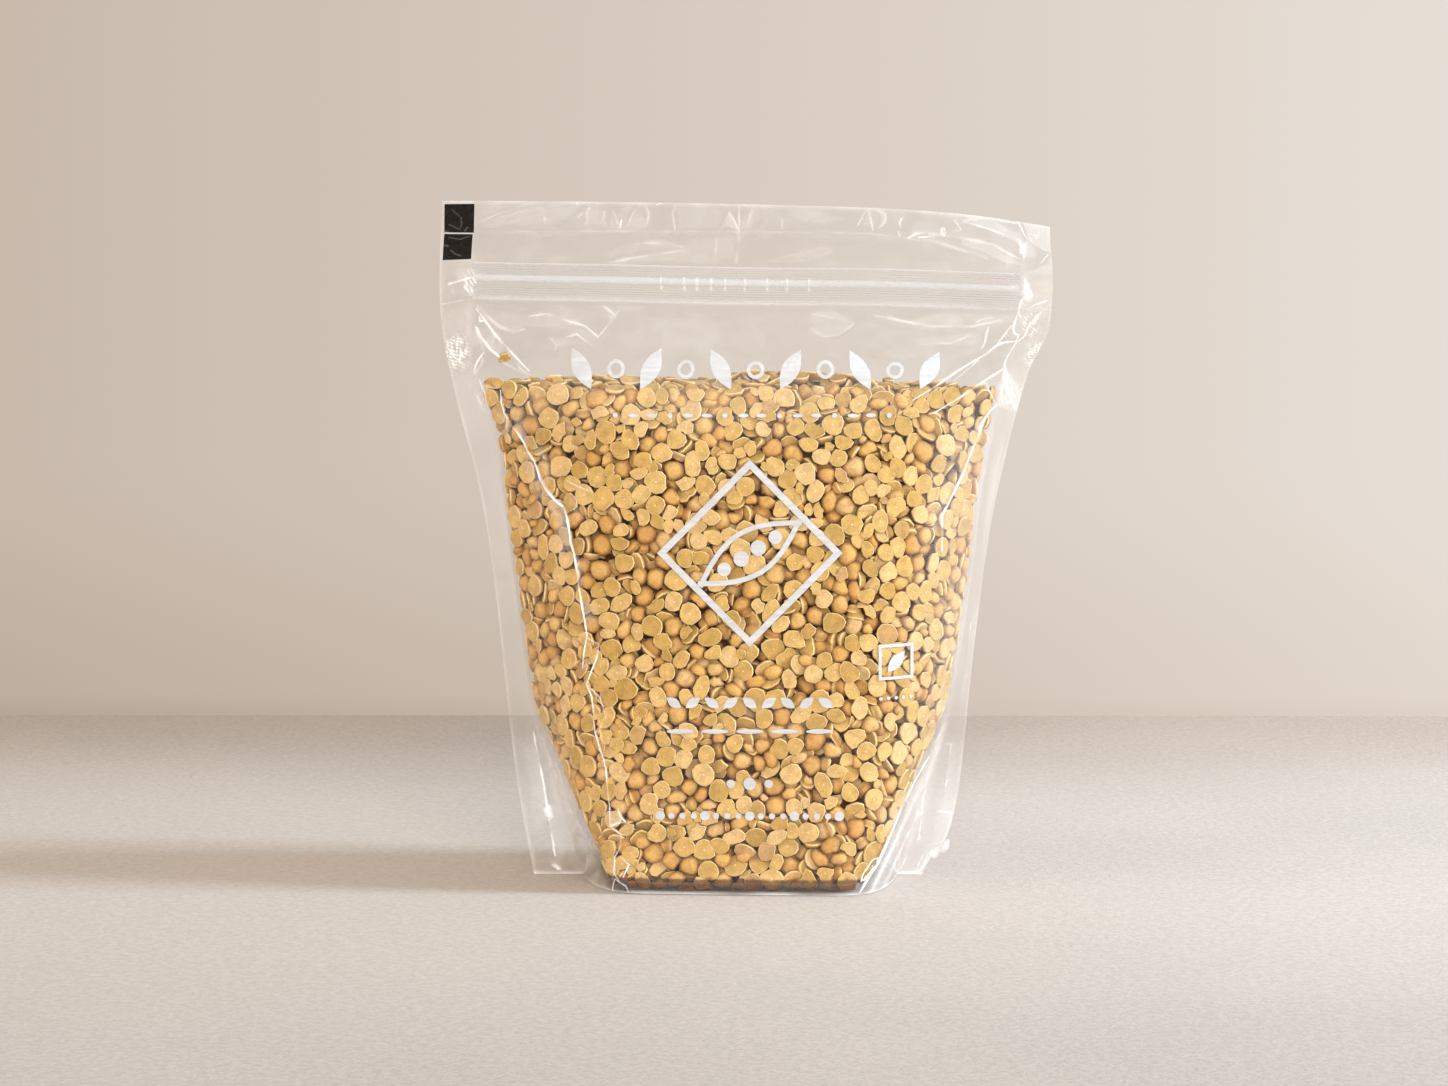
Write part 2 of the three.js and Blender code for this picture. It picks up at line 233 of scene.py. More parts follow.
    (0.8, 0.4, 0.30, [(-47.6, 142.5), (-44.3, 143.1), (-39.2, 139.7)]),
    (0.5, 0.3, 0.80, [(-44.3, 176.4), (-44.6, 177.0)]),
    (0.5, 0.3, 0.70, [(-23.8, 176.6), (-22.2, 177.0)]),
    (0.6, 0.3, 0.40, [(-53.1, 173.5), (-52.8, 171.5)]),
    (0.6, 0.4, 0.60, [(-70.2, 131.9), (-68.7, 128.7), (-68.3, 125.9), (-67.2, 122.0)]),
    (0.8, 0.4, 0.85, [(-72.4, 157.2), (-75.4, 156.3), (-78.4, 155.4)]),
    (0.6, 0.3, 0.75, [(50.8, 17.0), (55.0, 16.6)]),
    (0.7, 0.4, 0.35, [(50.1, 29.7), (48.4, 25.2), (47.0, 20.7), (46.7, 14.7), (45.6, 7.3)]),
    (1.0, 0.3, 0.42, [(44.5, 13.4), (41.7, 10.4), (40.2, 6.3), (41.2, 0.4)]),
    (0.8, 0.4, 0.38, [(43.5, 11.2), (43.1, 5.8), (41.4, 1.8)]),
    (0.7, 0.4, 0.80, [(35.1, 8.3), (32.9, 6.5), (30.7, 4.1)]),
    (0.55, 0.3, 0.40, [(54.5, 35.6), (54.0, 30.2), (53.1, 23.7)]),
    (0.6, 0.4, 0.60, [(48.3, 5.5), (47.5, 2.8), (45.8, 0.5)]),
    (0.5, 0.3, 0.35, [(59.7, 68.3), (59.0, 63.8), (57.3, 61.4)]),
    (0.6, 0.4, 0.45, [(62.0, 132.1), (64.0, 128.9), (65.2, 126.0)]),
    (0.7, 0.4, 0.60, [(79.2, 154.5), (75.9, 153.3), (73.0, 151.6)]),
    (0.5, 0.3, 0.45, [(47.4, 5.6), (46.2, 3.4), (45.4, 0.8)]),
]

# Crushed patches: middle, half size, how far they stand up, pitch and turn of their ribs, whiteness.
FRONT_CRUSHED = [
    (-76.2, 138.4, 3.2, 4.2, 0.10, 0.8, 1.25, 0.75),
    (76.8, 174.4, 2.2, 2.4, 0.03, 0.9, 1.35, 0.32),
    (68.9, 127.6, 2.4, 3.4, 0.10, 0.9, 0.25, 0.70),
    (75.0, 148.3, 2.8, 3.4, 0.12, 0.9, 0.80, 0.50),
    (73.6, 156.8, 0.9, 2.6, 0.05, 1.2, 0.20, 0.70),
    (-72.6, 156.0, 1.8, 3.6, 0.14, 1.0, 0.50, 0.80),
]


# Pale facets: painted reflections on flat places between the folds. Each is its whiteness and outline.
FRONT_PAINTED_GLARE = [
    (0.035, [(-70.2, 170.8), (-66.4, 172.6), (-59.7, 175.0), (-52.0, 177.0), (-42.1, 177.2),
             (-44.8, 174.7), (-49.3, 171.6), (-59.2, 170.9)]),
    (0.040, [(-42.3, 171.2), (-41.6, 174.3), (-38.7, 175.7), (-37.0, 174.4), (-37.6, 171.1)]),
    (0.045, [(-30.7, 170.7), (-30.2, 172.9), (-28.5, 174.3), (-26.3, 173.5), (-25.5, 170.8)]),
    (0.045, [(-18.2, 176.4), (-11.1, 176.9), (-7.3, 176.1), (-6.5, 173.4), (-7.3, 171.2), (-18.0, 170.7)]),
    (0.060, [(-27.2, 167.7), (-21.6, 168.1), (-17.8, 166.8), (-21.6, 166.2), (-26.1, 166.5)]),
    (0.038, [(-36.0, 162.3), (-29.9, 163.2), (-24.4, 163.7), (-22.7, 165.2), (-17.8, 165.7),
             (-14.5, 168.3), (-3.4, 169.3), (-2.9, 163.6), (-11.1, 162.4), (-22.7, 162.3)]),
    (0.120, [(-5.6, 171.8), (-4.2, 175.1), (-2.9, 173.5), (-2.0, 170.7)]),
    (0.055, [(-70.3, 149.1), (-64.8, 148.7), (-57.0, 148.1), (-47.6, 147.5), (-42.1, 145.2),
             (-39.1, 142.6), (-44.8, 144.2), (-52.0, 144.8), (-58.7, 144.9), (-60.9, 143.3),
             (-64.8, 144.1), (-68.2, 146.2)]),
    (0.060, [(-37.6, 151.0), (-35.0, 148.9), (-33.0, 150.3), (-34.3, 147.4), (-35.3, 144.9), (-36.4, 148.0)]),
    (0.050, [(-33.0, 149.7), (-29.9, 150.8), (-24.9, 150.9), (-28.3, 149.6), (-31.6, 149.2)]),
    (0.045, [(-57.9, 148.0), (-52.1, 147.6), (-46.5, 146.6), (-40.9, 144.7), (-44.3, 145.7), (-52.0, 146.6)]),
    (0.055, [(-51.2, 141.5), (-48.7, 142.5), (-44.2, 142.4), (-40.9, 140.4), (-44.8, 141.1), (-49.8, 140.2)]),
    (0.022, [(-34.3, 142.8), (-27.7, 145.0), (-21.1, 147.3), (-13.9, 149.6), (-8.9, 149.2),
             (-6.7, 143.3), (-8.9, 140.1), (-19.4, 141.0), (-28.7, 139.8)]),
    (0.030, [(-79.8, 146.0), (-78.2, 148.4), (-72.6, 149.3), (-71.2, 147.2), (-72.1, 142.5),
             (-77.1, 140.9), (-79.1, 138.9)]),
    (0.075, [(56.6, 177.2), (63.9, 177.2), (72.3, 173.4), (73.0, 169.8), (67.2, 172.2), (60.5, 174.7)]),
    (0.075, [(56.3, 170.2), (61.0, 171.0), (66.0, 169.6), (72.6, 164.3), (68.7, 164.2), (62.6, 167.0),
             (57.1, 168.6)]),
    (0.060, [(49.0, 170.2), (53.2, 169.0), (56.2, 167.3), (51.5, 168.0)]),
    (0.040, [(11.4, 176.0), (15.0, 177.1), (21.0, 175.1), (27.1, 174.1), (20.5, 172.6), (12.8, 173.8)]),
    (0.080, [(30.7, 172.3), (31.6, 175.9), (33.3, 172.9)]),
    (0.080, [(34.3, 177.2), (37.1, 176.1), (36.8, 173.6), (35.1, 172.1), (35.5, 174.9)]),
    (0.040, [(16.6, 149.7), (21.6, 151.4), (24.9, 149.9), (28.5, 147.2), (24.9, 144.5), (20.5, 143.6),
             (15.5, 144.7), (17.5, 147.0)]),
    (0.045, [(42.6, 148.6), (51.5, 150.7), (70.9, 150.5), (70.3, 148.5), (60.9, 146.9), (59.8, 148.9),
             (53.7, 147.7), (48.1, 146.7)]),
    (0.035, [(44.2, 144.1), (53.7, 144.8), (61.4, 145.8), (62.6, 142.5), (53.6, 141.6), (45.9, 141.8)]),
    (0.045, [(-1.6, 171.3), (0.6, 175.7), (2.8, 177.2), (6.7, 177.2), (1.7, 171.4)]),
    (0.10, [(73.8, 177.2), (80.4, 176.6), (80.2, 168.4), (76.1, 170.5), (74.5, 173.5)]),
    (0.32, [(72.9, 161.3), (75.7, 155.8), (74.5, 154.1), (72.8, 154.7), (73.1, 157.4)]),
    (0.34, [(72.2, 169.7), (74.0, 171.2), (73.2, 166.4), (72.1, 168.3)]),
    (0.16, [(67.6, 136.5), (72.7, 128.7), (72.2, 123.7), (70.5, 123.7), (66.3, 124.9), (67.1, 130.5)]),
    (0.07, [(72.0, 161.0), (80.0, 165.0), (79.6, 151.0), (72.4, 151.6)]),
]


def line_gap(x, height, start, end):
    """How far each place is from the straight line between two others."""
    step = end - start
    out_x, out_z = x - start[0], height - start[1]
    t = np.clip((out_x * step[0] + out_z * step[1]) / (step @ step), 0, 1)
    return np.hypot(out_x - t * step[0], out_z - t * step[1])


def painted_facet_glare(x, height, facets):
    """How white the painted reflections on the pale facets make the film, with soft edges a third of a
    millimetre wide.
    """
    white = np.zeros(len(x))
    for whiteness, outline in facets:
        line = np.array(outline)
        close = np.flatnonzero((x > line[:, 0].min() - 1) & (x < line[:, 0].max() + 1)
                               & (height > line[:, 1].min() - 1) & (height < line[:, 1].max() + 1))
        inside = np.zeros(len(close), bool)
        away = np.full(len(close), 9.0)
        for start, end in zip(line, np.roll(line, -1, axis=0)):
            away = np.minimum(away, line_gap(x[close], height[close], start, end))
            if end[1] != start[1]:
                spans = (start[1] > height[close]) != (end[1] > height[close])
                slant = (end[0] - start[0]) / (end[1] - start[1])
                inside ^= spans & (x[close] - start[0] < slant * (height[close] - start[1]))
        within = np.where(inside, away, -away)
        white[close] = np.maximum(white[close], whiteness * smoothstep(within, -0.15, 0.35))
    return white


def panel_plane(x, height, side):
    """The smooth panel before it is creased: side -1 is the front and 1 the back."""
    return np.stack([x, side * (0.2 + film_depth(x, height)), height], axis=1)


def crease_lines(points, creases, side):
    """How far the creases lift the points, how white they make them (stress whitening, partly a painted
    highlight, with painted sheen beside the broad ones), and the nearest one's distance.
    """
    lift = np.zeros(len(points))
    white = np.zeros(len(points))
    nearest = np.full(len(points), 9.0)
    for number, (half_width, rise, whiteness, line) in enumerate(creases):
        x, height = np.array(line, float).T
        run = panel_plane(x, height, side)
        close = np.flatnonzero(np.all((points > run.min(0) - 3) & (points < run.max(0) + 3), axis=1))
        if not len(close):
            continue
        start, step = run[:-1], np.diff(run, axis=0)
        length = np.linalg.norm(step, axis=1)
        before = np.concatenate([[0], np.cumsum(length)])
        gap = points[close][:, None] - start
        t = np.clip((gap * step).sum(2) / length ** 2, 0, 1)
        away = np.linalg.norm(gap - t[:, :, None] * step, axis=2)
        at = away.argmin(1)
        rows = np.arange(len(close))
        far = away[rows, at]
        run_along = before[at] + t[rows, at] * length[at]
        share = run_along / before[-1]
        taper = smoothstep(share, -0.04, 0.16) * smoothstep(share, 1.04, 0.84)
        uneven = 0.62 + 0.38 * np.sin(run_along * 0.8 + number) * np.sin(run_along * 0.33 + 2 * number)
        # Painted glint: the whiteness comes and goes along a crease as a highlight would.
        glint = np.clip(0.75 + 0.6 * np.sin(run_along * 0.47 + 3 * number) * np.sin(run_along * 0.19), 0.2, 1)
        width = half_width * 0.60 * (0.35 + 0.65 * taper * uneven)
        lift[close] += 0.8 * rise * taper * np.clip(1 - far / (width * 2.0), 0, 1) ** 1.3
        white[close] = np.maximum(white[close], whiteness * glint * smoothstep(far, width, width * 0.3))
        # Painted sheen: soft pale patches beside a broad crease, on one side of it.
        if half_width > 0.7:
            aside = gap[rows, at]
            ahead = step[at]
            hand = np.where(aside[:, 0] * ahead[:, 2] > aside[:, 2] * ahead[:, 0], 1.0, -1.0)
            spots = points[close]
            patch = smoothstep(hand * swells(spots[:, 0], spots[:, 2], 13, 1.8, 60 + number, 6), 0.05, 0.16)
            sheen = 0.16 * whiteness * taper * np.clip(1 - far / 4.5, 0, 1) ** 0.6
            white[close] = np.maximum(white[close], sheen * patch)
        nearest[close] = np.minimum(nearest[close], far)
    return lift, white, nearest


def film_surface(x, height, side, raised=0.0):
    """The creased panel's points in millimetres, and how white the film is at each."""
    creases = FRONT_CREASES if side < 0 else BACK_CREASES
    crushed = FRONT_CRUSHED if side < 0 else BACK_CRUSHED
    depth = film_depth(x, height)
    points = panel_plane(x, height, side)
    reach = 0.4
    slope_x = (film_depth(x + reach, height) - film_depth(x - reach, height)) / (2 * reach)
    slope_z = (film_depth(x, height + reach) - film_depth(x, height - reach)) / (2 * reach)
    normal = np.stack([-slope_x, np.full(len(x), side, float), -slope_z], axis=1)
    normal /= np.linalg.norm(normal, axis=1)[:, None]

    lift, white, _ = crease_lines(points, creases, side)
    free = smoothstep(depth, 0.1, 1.6)
    seed = 11 if side < 0 else 31
    header = smoothstep(height, 160, 164)
    top_seal = smoothstep(height, TOP_SEAL_FROM - 0.6, TOP_SEAL_FROM + 0.6)
    space = smoothstep(height, 130, 138) * (1 - smoothstep(height, 147, 151))
    belly = 1 - smoothstep(height, 126, 134)
    deep = 1.0 if side < 0 else 0.35
    wave = 0.9 * deep * space * swells(x, height, 26, 0.8, seed + 1)
    wave += 0.35 * deep * space * swells(x, height, 9, 0.7, seed + 2)
    wave += 0.32 * header * (1 - top_seal) * swells(x, height, 15, 0.6, seed + 3)
    wave += 0.10 * belly * swells(x, height, 17, 1.5, seed + 4)
    lift = lift + free * wave
    folded = 1 - np.abs(swells(x, height, 16, 2.2, 5)) * 2
    shared = 0.42 * top_seal * np.clip(folded, -0.6, 1) + 0.16 * header * swells(x, height, 30, 1.0, 6)
    shared += 0.22 * (1 - free) * swells(x, height, 20, 3.5, 7)
    for mid_x, mid_z, half_x, half_z, rise, pitch, turn, whiteness in crushed:
        patch = np.exp(-(((x - mid_x) / half_x) ** 2 + ((height - mid_z) / half_z) ** 2) ** 2)
        run = (x - mid_x) * math.cos(turn) + (height - mid_z) * math.sin(turn)
        cross = (height - mid_z) * math.cos(turn) - (x - mid_x) * math.sin(turn)
        ribs = np.sin(2 * math.pi * run / pitch + 1.5 * np.sin(cross * 0.8))
        shared += rise * patch * ribs
        fleck = swells(x, height, pitch * 1.6, 2.0, 40 + int(abs(mid_x)))
        white = np.maximum(white, whiteness * patch * np.clip(0.25 + 0.5 * ribs + 1.1 * fleck, 0, 1))
    points += (lift + raised)[:, None] * normal
    points[:, 1] += shared
    return settle(points), white


def as_mesh(name, shape):
    """The mesh of a finished bmesh, which is then freed."""
    mesh = bpy.data.meshes.new(name)
    shape.to_mesh(mesh)
    shape.free()
    return mesh


def grid_mesh(name, columns, rows, flip=False):
    """A flat square, one unit wide and cut into columns and rows."""
    shape = bmesh.new()
    bmesh.ops.create_grid(shape, x_segments=columns, y_segments=rows, size=0.5)
    if flip:
        bmesh.ops.reverse_faces(shape, faces=shape.faces)
    return as_mesh(name, shape)


def add_piece(name, mesh, material):
    """Shows a mesh as one piece of the pouch."""
    mesh.materials.append(material)
    piece = bpy.data.objects.new(name, mesh)
    bpy.context.scene.collection.objects.link(piece)
    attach(piece, "root")
    return piece


def keep_points(mesh, points):
    """Writes points in millimetres as the mesh's vertices."""
    mesh.vertices.foreach_set("co", np.ascontiguousarray(points * MM, np.float32).ravel())
    mesh.update()


def read_points(mesh):
    flat = np.empty(len(mesh.vertices) * 3, np.float32)
    mesh.vertices.foreach_get("co", flat)
    return flat.reshape(-1, 3).astype(float)


def keep_layer(mesh, name, values):
    layer = mesh.attributes.new(name, "FLOAT", "POINT")
    layer.data.foreach_set("value", np.ascontiguousarray(values, np.float32))


def seal_line(gap, half_width):
    return np.clip(1 - np.abs(gap) / half_width, 0, 1)


def unroll_table():
    """For each height, the x of every share of the panel's width, measured along the film."""
    heights = np.linspace(0, POUCH_HEIGHT, 120)
    warp = np.sin(np.linspace(-math.pi / 2, math.pi / 2, 401))
    shares = np.linspace(0, 1, 361)
    table = np.empty((len(heights), len(shares)))
    for row, height in enumerate(heights):
        left = -float(along(INNER_LEFT, height))
        right = float(along(INNER_RIGHT, height))
        x = left + (right - left) * (warp + 1) / 2
        y = film_depth(x, np.full(len(x), height))
        run = np.concatenate([[0], np.cumsum(np.hypot(np.diff(x), np.diff(y)))])
        table[row] = np.interp(shares, run / run[-1], x)
    return table


UNROLLED = unroll_table()


def roll_up(flat_x, height):
    """x on the filled pouch of a place on the flat web."""
    inner = POUCH_WIDTH / 2 - SIDE_SEAL
    share = np.clip((flat_x / inner + 1) / 2, 0, 1) * (UNROLLED.shape[1] - 1)
    row = np.clip(height / POUCH_HEIGHT, 0, 1) * (UNROLLED.shape[0] - 1)
    i = np.minimum(row.astype(int), UNROLLED.shape[0] - 2)
    j = np.minimum(share.astype(int), UNROLLED.shape[1] - 2)
    a, b = row - i, share - j
    x = (UNROLLED[i, j] * (1 - a) + UNROLLED[i + 1, j] * a) * (1 - b)
    x = x + (UNROLLED[i, j + 1] * (1 - a) + UNROLLED[i + 1, j + 1] * a) * b
    past = np.clip((np.abs(flat_x) - inner) / SIDE_SEAL, 0, 1)
    left_seal = along(OUTER_LEFT, height) - along(INNER_LEFT, height)
    right_seal = along(OUTER_RIGHT, height) - along(INNER_RIGHT, height)
    return x + past * np.where(flat_x < 0, -left_seal, right_seal)


def film_panel(name, side, spacing, creases, crushed, material):
    """One web of film: a flat sheet, cut finer where it is creased, then wrapped round the filling."""
    web = bmesh.new()
    columns = round(POUCH_WIDTH / spacing)
    rows = round(POUCH_HEIGHT / spacing)
    bmesh.ops.create_grid(web, x_segments=columns, y_segments=rows, size=0.5)
    bmesh.ops.scale(web, vec=(POUCH_WIDTH, POUCH_HEIGHT, 1), verts=web.verts)
    bmesh.ops.translate(web, vec=(0, POUCH_HEIGHT / 2, 0), verts=web.verts)
    flat = np.array([v.co for v in web.verts])
    x = roll_up(flat[:, 0], flat[:, 1])
    _, _, nearest = crease_lines(panel_plane(x, flat[:, 1], side), creases, side)
    for mid_x, mid_z, half_x, half_z, *_ in crushed:
        inside = ((x - mid_x) / half_x) ** 2 + ((flat[:, 1] - mid_z) / half_z) ** 2 < 1.4
        nearest[inside] = 0
    fine = nearest < 1.25 * spacing
    half = (flat[:, 1] > 137) & (side < 0)
    web.verts.ensure_lookup_table()
    cut = [e for e in web.edges if fine[e.verts[0].index] and fine[e.verts[1].index]]
    split = [e for e in web.edges if half[e.verts[0].index] and half[e.verts[1].index]
             and not (fine[e.verts[0].index] and fine[e.verts[1].index])]
    bmesh.ops.subdivide_edges(web, edges=cut, cuts=3, use_grid_fill=True)
    bmesh.ops.subdivide_edges(web, edges=split, cuts=1, use_grid_fill=True)
    if side > 0:
        bmesh.ops.reverse_faces(web, faces=web.faces)
    mesh = as_mesh(name, web)
    flat = read_points(mesh)
    height = flat[:, 1]
    x = roll_up(flat[:, 0], height)
    points, white = film_surface(x, height, side)
    keep_points(mesh, points)
    mesh.shade_smooth()
    edge = POUCH_WIDTH / 2 - np.abs(flat[:, 0])
    broken = 0.35 + 0.65 * np.clip(0.5 + swells(x, height, 17, 1.0, 91), 0, 1)
    bands = np.clip(swells(flat[:, 0], height, 5, 9.0, 92), 0, 1) * smoothstep(edge, SIDE_SEAL + 6, 2)
    # Painted sheen on the right, the lamp side, from the peas' top downwards.
    right = smoothstep(x, 20, 50) * smoothstep(height, 150, 120)
    haze = 0.002 + 0.010 * smoothstep(height, 130, 137)
    haze += 0.010 * smoothstep(edge, SIDE_SEAL + 0.3, SIDE_SEAL - 0.3) * smoothstep(height, 137, 130)
    haze += 0.004 * smoothstep(height, TOP_SEAL_FROM - 0.5, TOP_SEAL_FROM + 0.5)
    haze += broken * (0.05 * seal_line(edge - SIDE_SEAL, 0.8) + 0.09 * seal_line(edge, 0.7))
    haze += broken * (0.14 * seal_line(height - POUCH_HEIGHT, 0.7) + 0.42 * seal_line(height, 0.45))
    haze += 0.006 * smoothstep(height, 3.9, 3.3) + 0.04 * seal_line(height - 3.6, 0.5)
    # Streaks by the side seals, with painted sheen over them on the right, the lamp side.
    haze += bands * (0.015 + 0.06 * right) + 0.04 * right * smoothstep(edge, SIDE_SEAL + 4, SIDE_SEAL)
    # Painted sheen on the corner webs below the slanted seals, in streaks, brighter on the right, the lamp
    # side, and by its seam.
    seam = corner_seam(1, height) * (x > 0) + corner_seam(-1, height) * (x < 0)
    corner = smoothstep(np.abs(x) - seam, 0.3, 2.5) * smoothstep(height, CORNER_TOP, CORNER_TOP - 8)
    corner *= smoothstep(edge, SIDE_SEAL - 1.5, SIDE_SEAL + 0.5)
    pleats = np.clip(0.5 + swells(x - 0.55 * height, height, 3.2, 8.0, 93), 0, 1)
    by_seam = smoothstep(np.abs(x) - seam, 6, 0.5)
    painted_corner_sheen = np.where(x > 0, 0.07 + 0.16 * pleats ** 2 + 0.11 * by_seam, 0.05 + 0.12 * pleats ** 2)
    haze += corner * painted_corner_sheen
    # Painted reflection: a pale band over the top rows of peas.
    haze += 0.03 * smoothstep(height, 114, 127) * smoothstep(height, 137, 130)
    # Painted sheen over the right edge of the peas, the lamp side.
    haze += 0.06 * smoothstep(x, 40, 58) * smoothstep(height, 128, 115) * smoothstep(edge, 8, 9)
    if side < 0:
        # Painted reflections on the pale facets of the front.
        haze = haze + painted_facet_glare(x, height, FRONT_PAINTED_GLARE)
    keep_layer(mesh, "haze", np.maximum(haze, white * (0.95 - 0.27 * smoothstep(height, 158, 166))))
    # Where the film gets painted reflections of its folds: where it hangs loose above the heap, less by the
    # zip, and by the side seals.
    by_zip = smoothstep(height, 150, 152) * smoothstep(height, 163, 161)
    loose = smoothstep(height, 131, 137) * (1 - 0.8 * by_zip)
    keep_layer(mesh, "loose", np.maximum(loose, 0.6 * smoothstep(edge, SIDE_SEAL + 2, SIDE_SEAL)))
    return add_piece(name, mesh, material)


def sums(operation, swapped=False):
    """One of Value's operators: it adds the maths node of that name."""
    def apply(value, other):
        first, second = (other, value) if swapped else (value, other)
        return value.sum_of(operation, first, second)
    return apply


class Value:
    """A socket of one finish's nodes, so that shader maths reads as plain expressions."""

    def __init__(self, finish, socket):
        self.finish = finish
        self.socket = socket

    def sum_of(self, operation, first, second, clamp=False):
        settings = {"operation": operation, "use_clamp": clamp}
        return self.finish.node("ShaderNodeMath", settings, {0: first, 1: second})

    __add__, __radd__ = sums("ADD"), sums("ADD", swapped=True)
    __sub__, __rsub__ = sums("SUBTRACT"), sums("SUBTRACT", swapped=True)
    __mul__, __rmul__ = sums("MULTIPLY"), sums("MULTIPLY", swapped=True)
    __truediv__ = sums("DIVIDE")

    def clamped(self):
        return self.sum_of("ADD", self, 0.0, clamp=True)

    def rise(self, low, high, start=0.0, end=1.0):
        """start below low, end above high, and smooth between."""
        settings = {"interpolation_type": "SMOOTHSTEP", "clamp": True}
        inputs = {0: self, 1: low, 2: high, 3: start, 4: end}
        return self.finish.node("ShaderNodeMapRange", settings, inputs)


class Finish:
    """A material's nodes, or the world's."""

    def __init__(self, name, owner=None):
        self.owner = owner or bpy.data.materials.new(name)
        self.owner.use_nodes = True
        self.tree = self.owner.node_tree
        self.tree.nodes.clear()

    def node(self, kind, settings=None, inputs=None, out=0):
        """Adds a node of that type with its settings, then the values or links of its sockets."""
        node = self.tree.nodes.new(kind)
        for key, value in (settings or {}).items():
            if key == "ramp":
                stops = node.color_ramp.elements
                while len(stops) < len(value):
                    stops.new(0.5)
                for stop, (place, colour) in zip(stops, value):
                    stop.position = place
                    stop.color = colour
            else:
                setattr(node, key, value)
        for key, value in (inputs or {}).items():
            if isinstance(value, Value):
                self.tree.links.new(value.socket, node.inputs[key])
            else:
                node.inputs[key].default_value = value
        return Value(self, node.outputs[out])

    def layer(self, name):
        return self.node("ShaderNodeAttribute", {"attribute_name": name}, out="Fac")

    def place(self):
        return self.node("ShaderNodeTexCoord", out="Object")

    def grain(self, scale, detail=2.0, roughness=0.5, where=None):
        inputs = {"Vector": where or self.place(), "Scale": scale, "Detail": detail, "Roughness": roughness}
        return self.node("ShaderNodeTexNoise", {}, inputs, out=0)

    def blend(self, share, first, second):
        return self.node("ShaderNodeMix", {"data_type": "RGBA"}, {0: share, 6: first, 7: second}, out=2)

    def bump(self, height, strength, distance):
        return self.node("ShaderNodeBump", {}, {"Height": height, "Strength": strength, "Distance": distance})

    def surface(self, shader, output="ShaderNodeOutputMaterial"):
        last = self.tree.nodes.new(output)
        self.tree.links.new(shader.socket, last.inputs["Surface"])
        return self.owner

    def see_through(self, cover, body):
        """The body shows as far as cover says, and otherwise what lies behind it."""
        clear = self.node("ShaderNodeBsdfTransparent")
        return self.surface(self.node("ShaderNodeMixShader", {}, {0: cover, 1: clear, 2: body}))


def colour(red, green, blue):
    """A colour as it looks on screen, in the numbers that the nodes take."""
    parts = [c / 255 for c in (red, green, blue)]
    linear = [c / 12.92 if c <= 0.04045 else ((c + 0.055) / 1.055) ** 2.4 for c in parts]
    return (*linear, 1.0)


def clear_film(name, gloss):
    """Clear film mirrors a little of its surroundings, less on the inner side that pea flour dulls.
    It is white where it is sealed or creased, and shows painted reflections as pale patches where it hangs in
    folds."""
    film = Finish(name)
    ripple = film.grain(55.0, 2.0, 0.45)
    skin = film.bump(ripple, 0.12, 0.0012)
    glaze = film.node("ShaderNodeFresnel", {}, {"IOR": 1.5, "Normal": skin})
    inner_side = film.node("ShaderNodeNewGeometry", out="Backfacing")
    mirror = 1.3 * gloss * glaze / (1.0 + glaze) * (1.0 - 0.8 * inner_side)
    cloud = film.grain(38.0, 3.0, 0.55).rise(0.3, 0.7, 0.75, 1.25)
    broad = film.node("ShaderNodeTexNoise", {}, {
        "Vector": film.place(), "Scale": 44.0, "Detail": 1.6, "Roughness": 0.5, "Distortion": 1.5})
    small = film.node("ShaderNodeTexNoise", {}, {
        "Vector": film.place(), "Scale": 98.0, "Detail": 1.0, "Roughness": 0.5, "Distortion": 1.0})
    # Painted reflections: small pale patches with crisp edges where the film hangs loose.
    folds = broad.rise(0.515, 0.535, 0.0, 0.012) + small.rise(0.585, 0.60, 0.0, 0.014)
    haze = film.layer("haze") * cloud + film.layer("loose") * folds
    cover = (mirror + haze).clamped()
    metallic = mirror / (mirror + haze)
    body = film.node("ShaderNodeBsdfPrincipled", {}, {
        "Base Color": colour(252, 251, 249), "Metallic": metallic.clamped(), "Roughness": 0.07,
        "IOR": 1.5, "Normal": skin})
    return film.see_through(cover, body)


BACK_CREASES = [
    (0.8, 0.6, 0.9, [(66.0, 128.0), (63.0, 121.0), (58.0, 113.0), (55.0, 103.0), (50.0, 96.0),
                     (47.0, 84.0), (45.5, 70.0)]),
    (0.6, 0.45, 0.8, [(45.5, 70.0), (43.0, 61.0), (44.0, 50.0), (40.5, 40.0), (39.0, 27.0), (37.5, 16.0)]),
    (0.6, 0.4, 0.7, [(70.0, 148.0), (66.0, 142.0), (60.0, 136.0), (55.0, 131.0)]),
    (0.6, 0.4, 0.7, [(-70.0, 147.0), (-65.0, 141.5), (-59.5, 134.0), (-52.0, 129.0)]),
    (0.9, 0.6, 0.8, [(-64.0, 127.0), (-60.0, 118.0), (-56.0, 108.0), (-52.5, 99.0), (-51.0, 88.0)]),
    (1.2, 0.7, 0.9, [(-52.0, 37.0), (-46.0, 28.0), (-41.0, 17.0), (-36.0, 8.0), (-33.0, 1.0)]),
]
BACK_CRUSHED = [
    (76.2, 139.0, 3.0, 4.2, 0.10, 0.8, 1.25, 0.70),
    (-68.5, 128.0, 2.4, 3.4, 0.12, 0.8, 0.25, 0.70),
]

film_material = clear_film("clear_film", 1.0)
front_panel = film_panel("front_panel", -1, 1.0, FRONT_CREASES, FRONT_CRUSHED, film_material)
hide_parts("pouch")

# -------------------------------------------------------------------------------- back panel
# The back is a second web of the same film, unprinted, sealed to the front round three edges.
# It bulges as far as the front does, and has creases of its own.
film_panel("back_panel", 1, 1.25, BACK_CREASES, BACK_CRUSHED, film_material)

# ------------------------------------------------------------------------------------ gusset
# The base is a third strip of film, folded in between the panels and opened out by the peas. It
# is sealed to them along the hems and up the slanted seals, so the pouch stands on the hems.
HEM_HEIGHT = 3.6


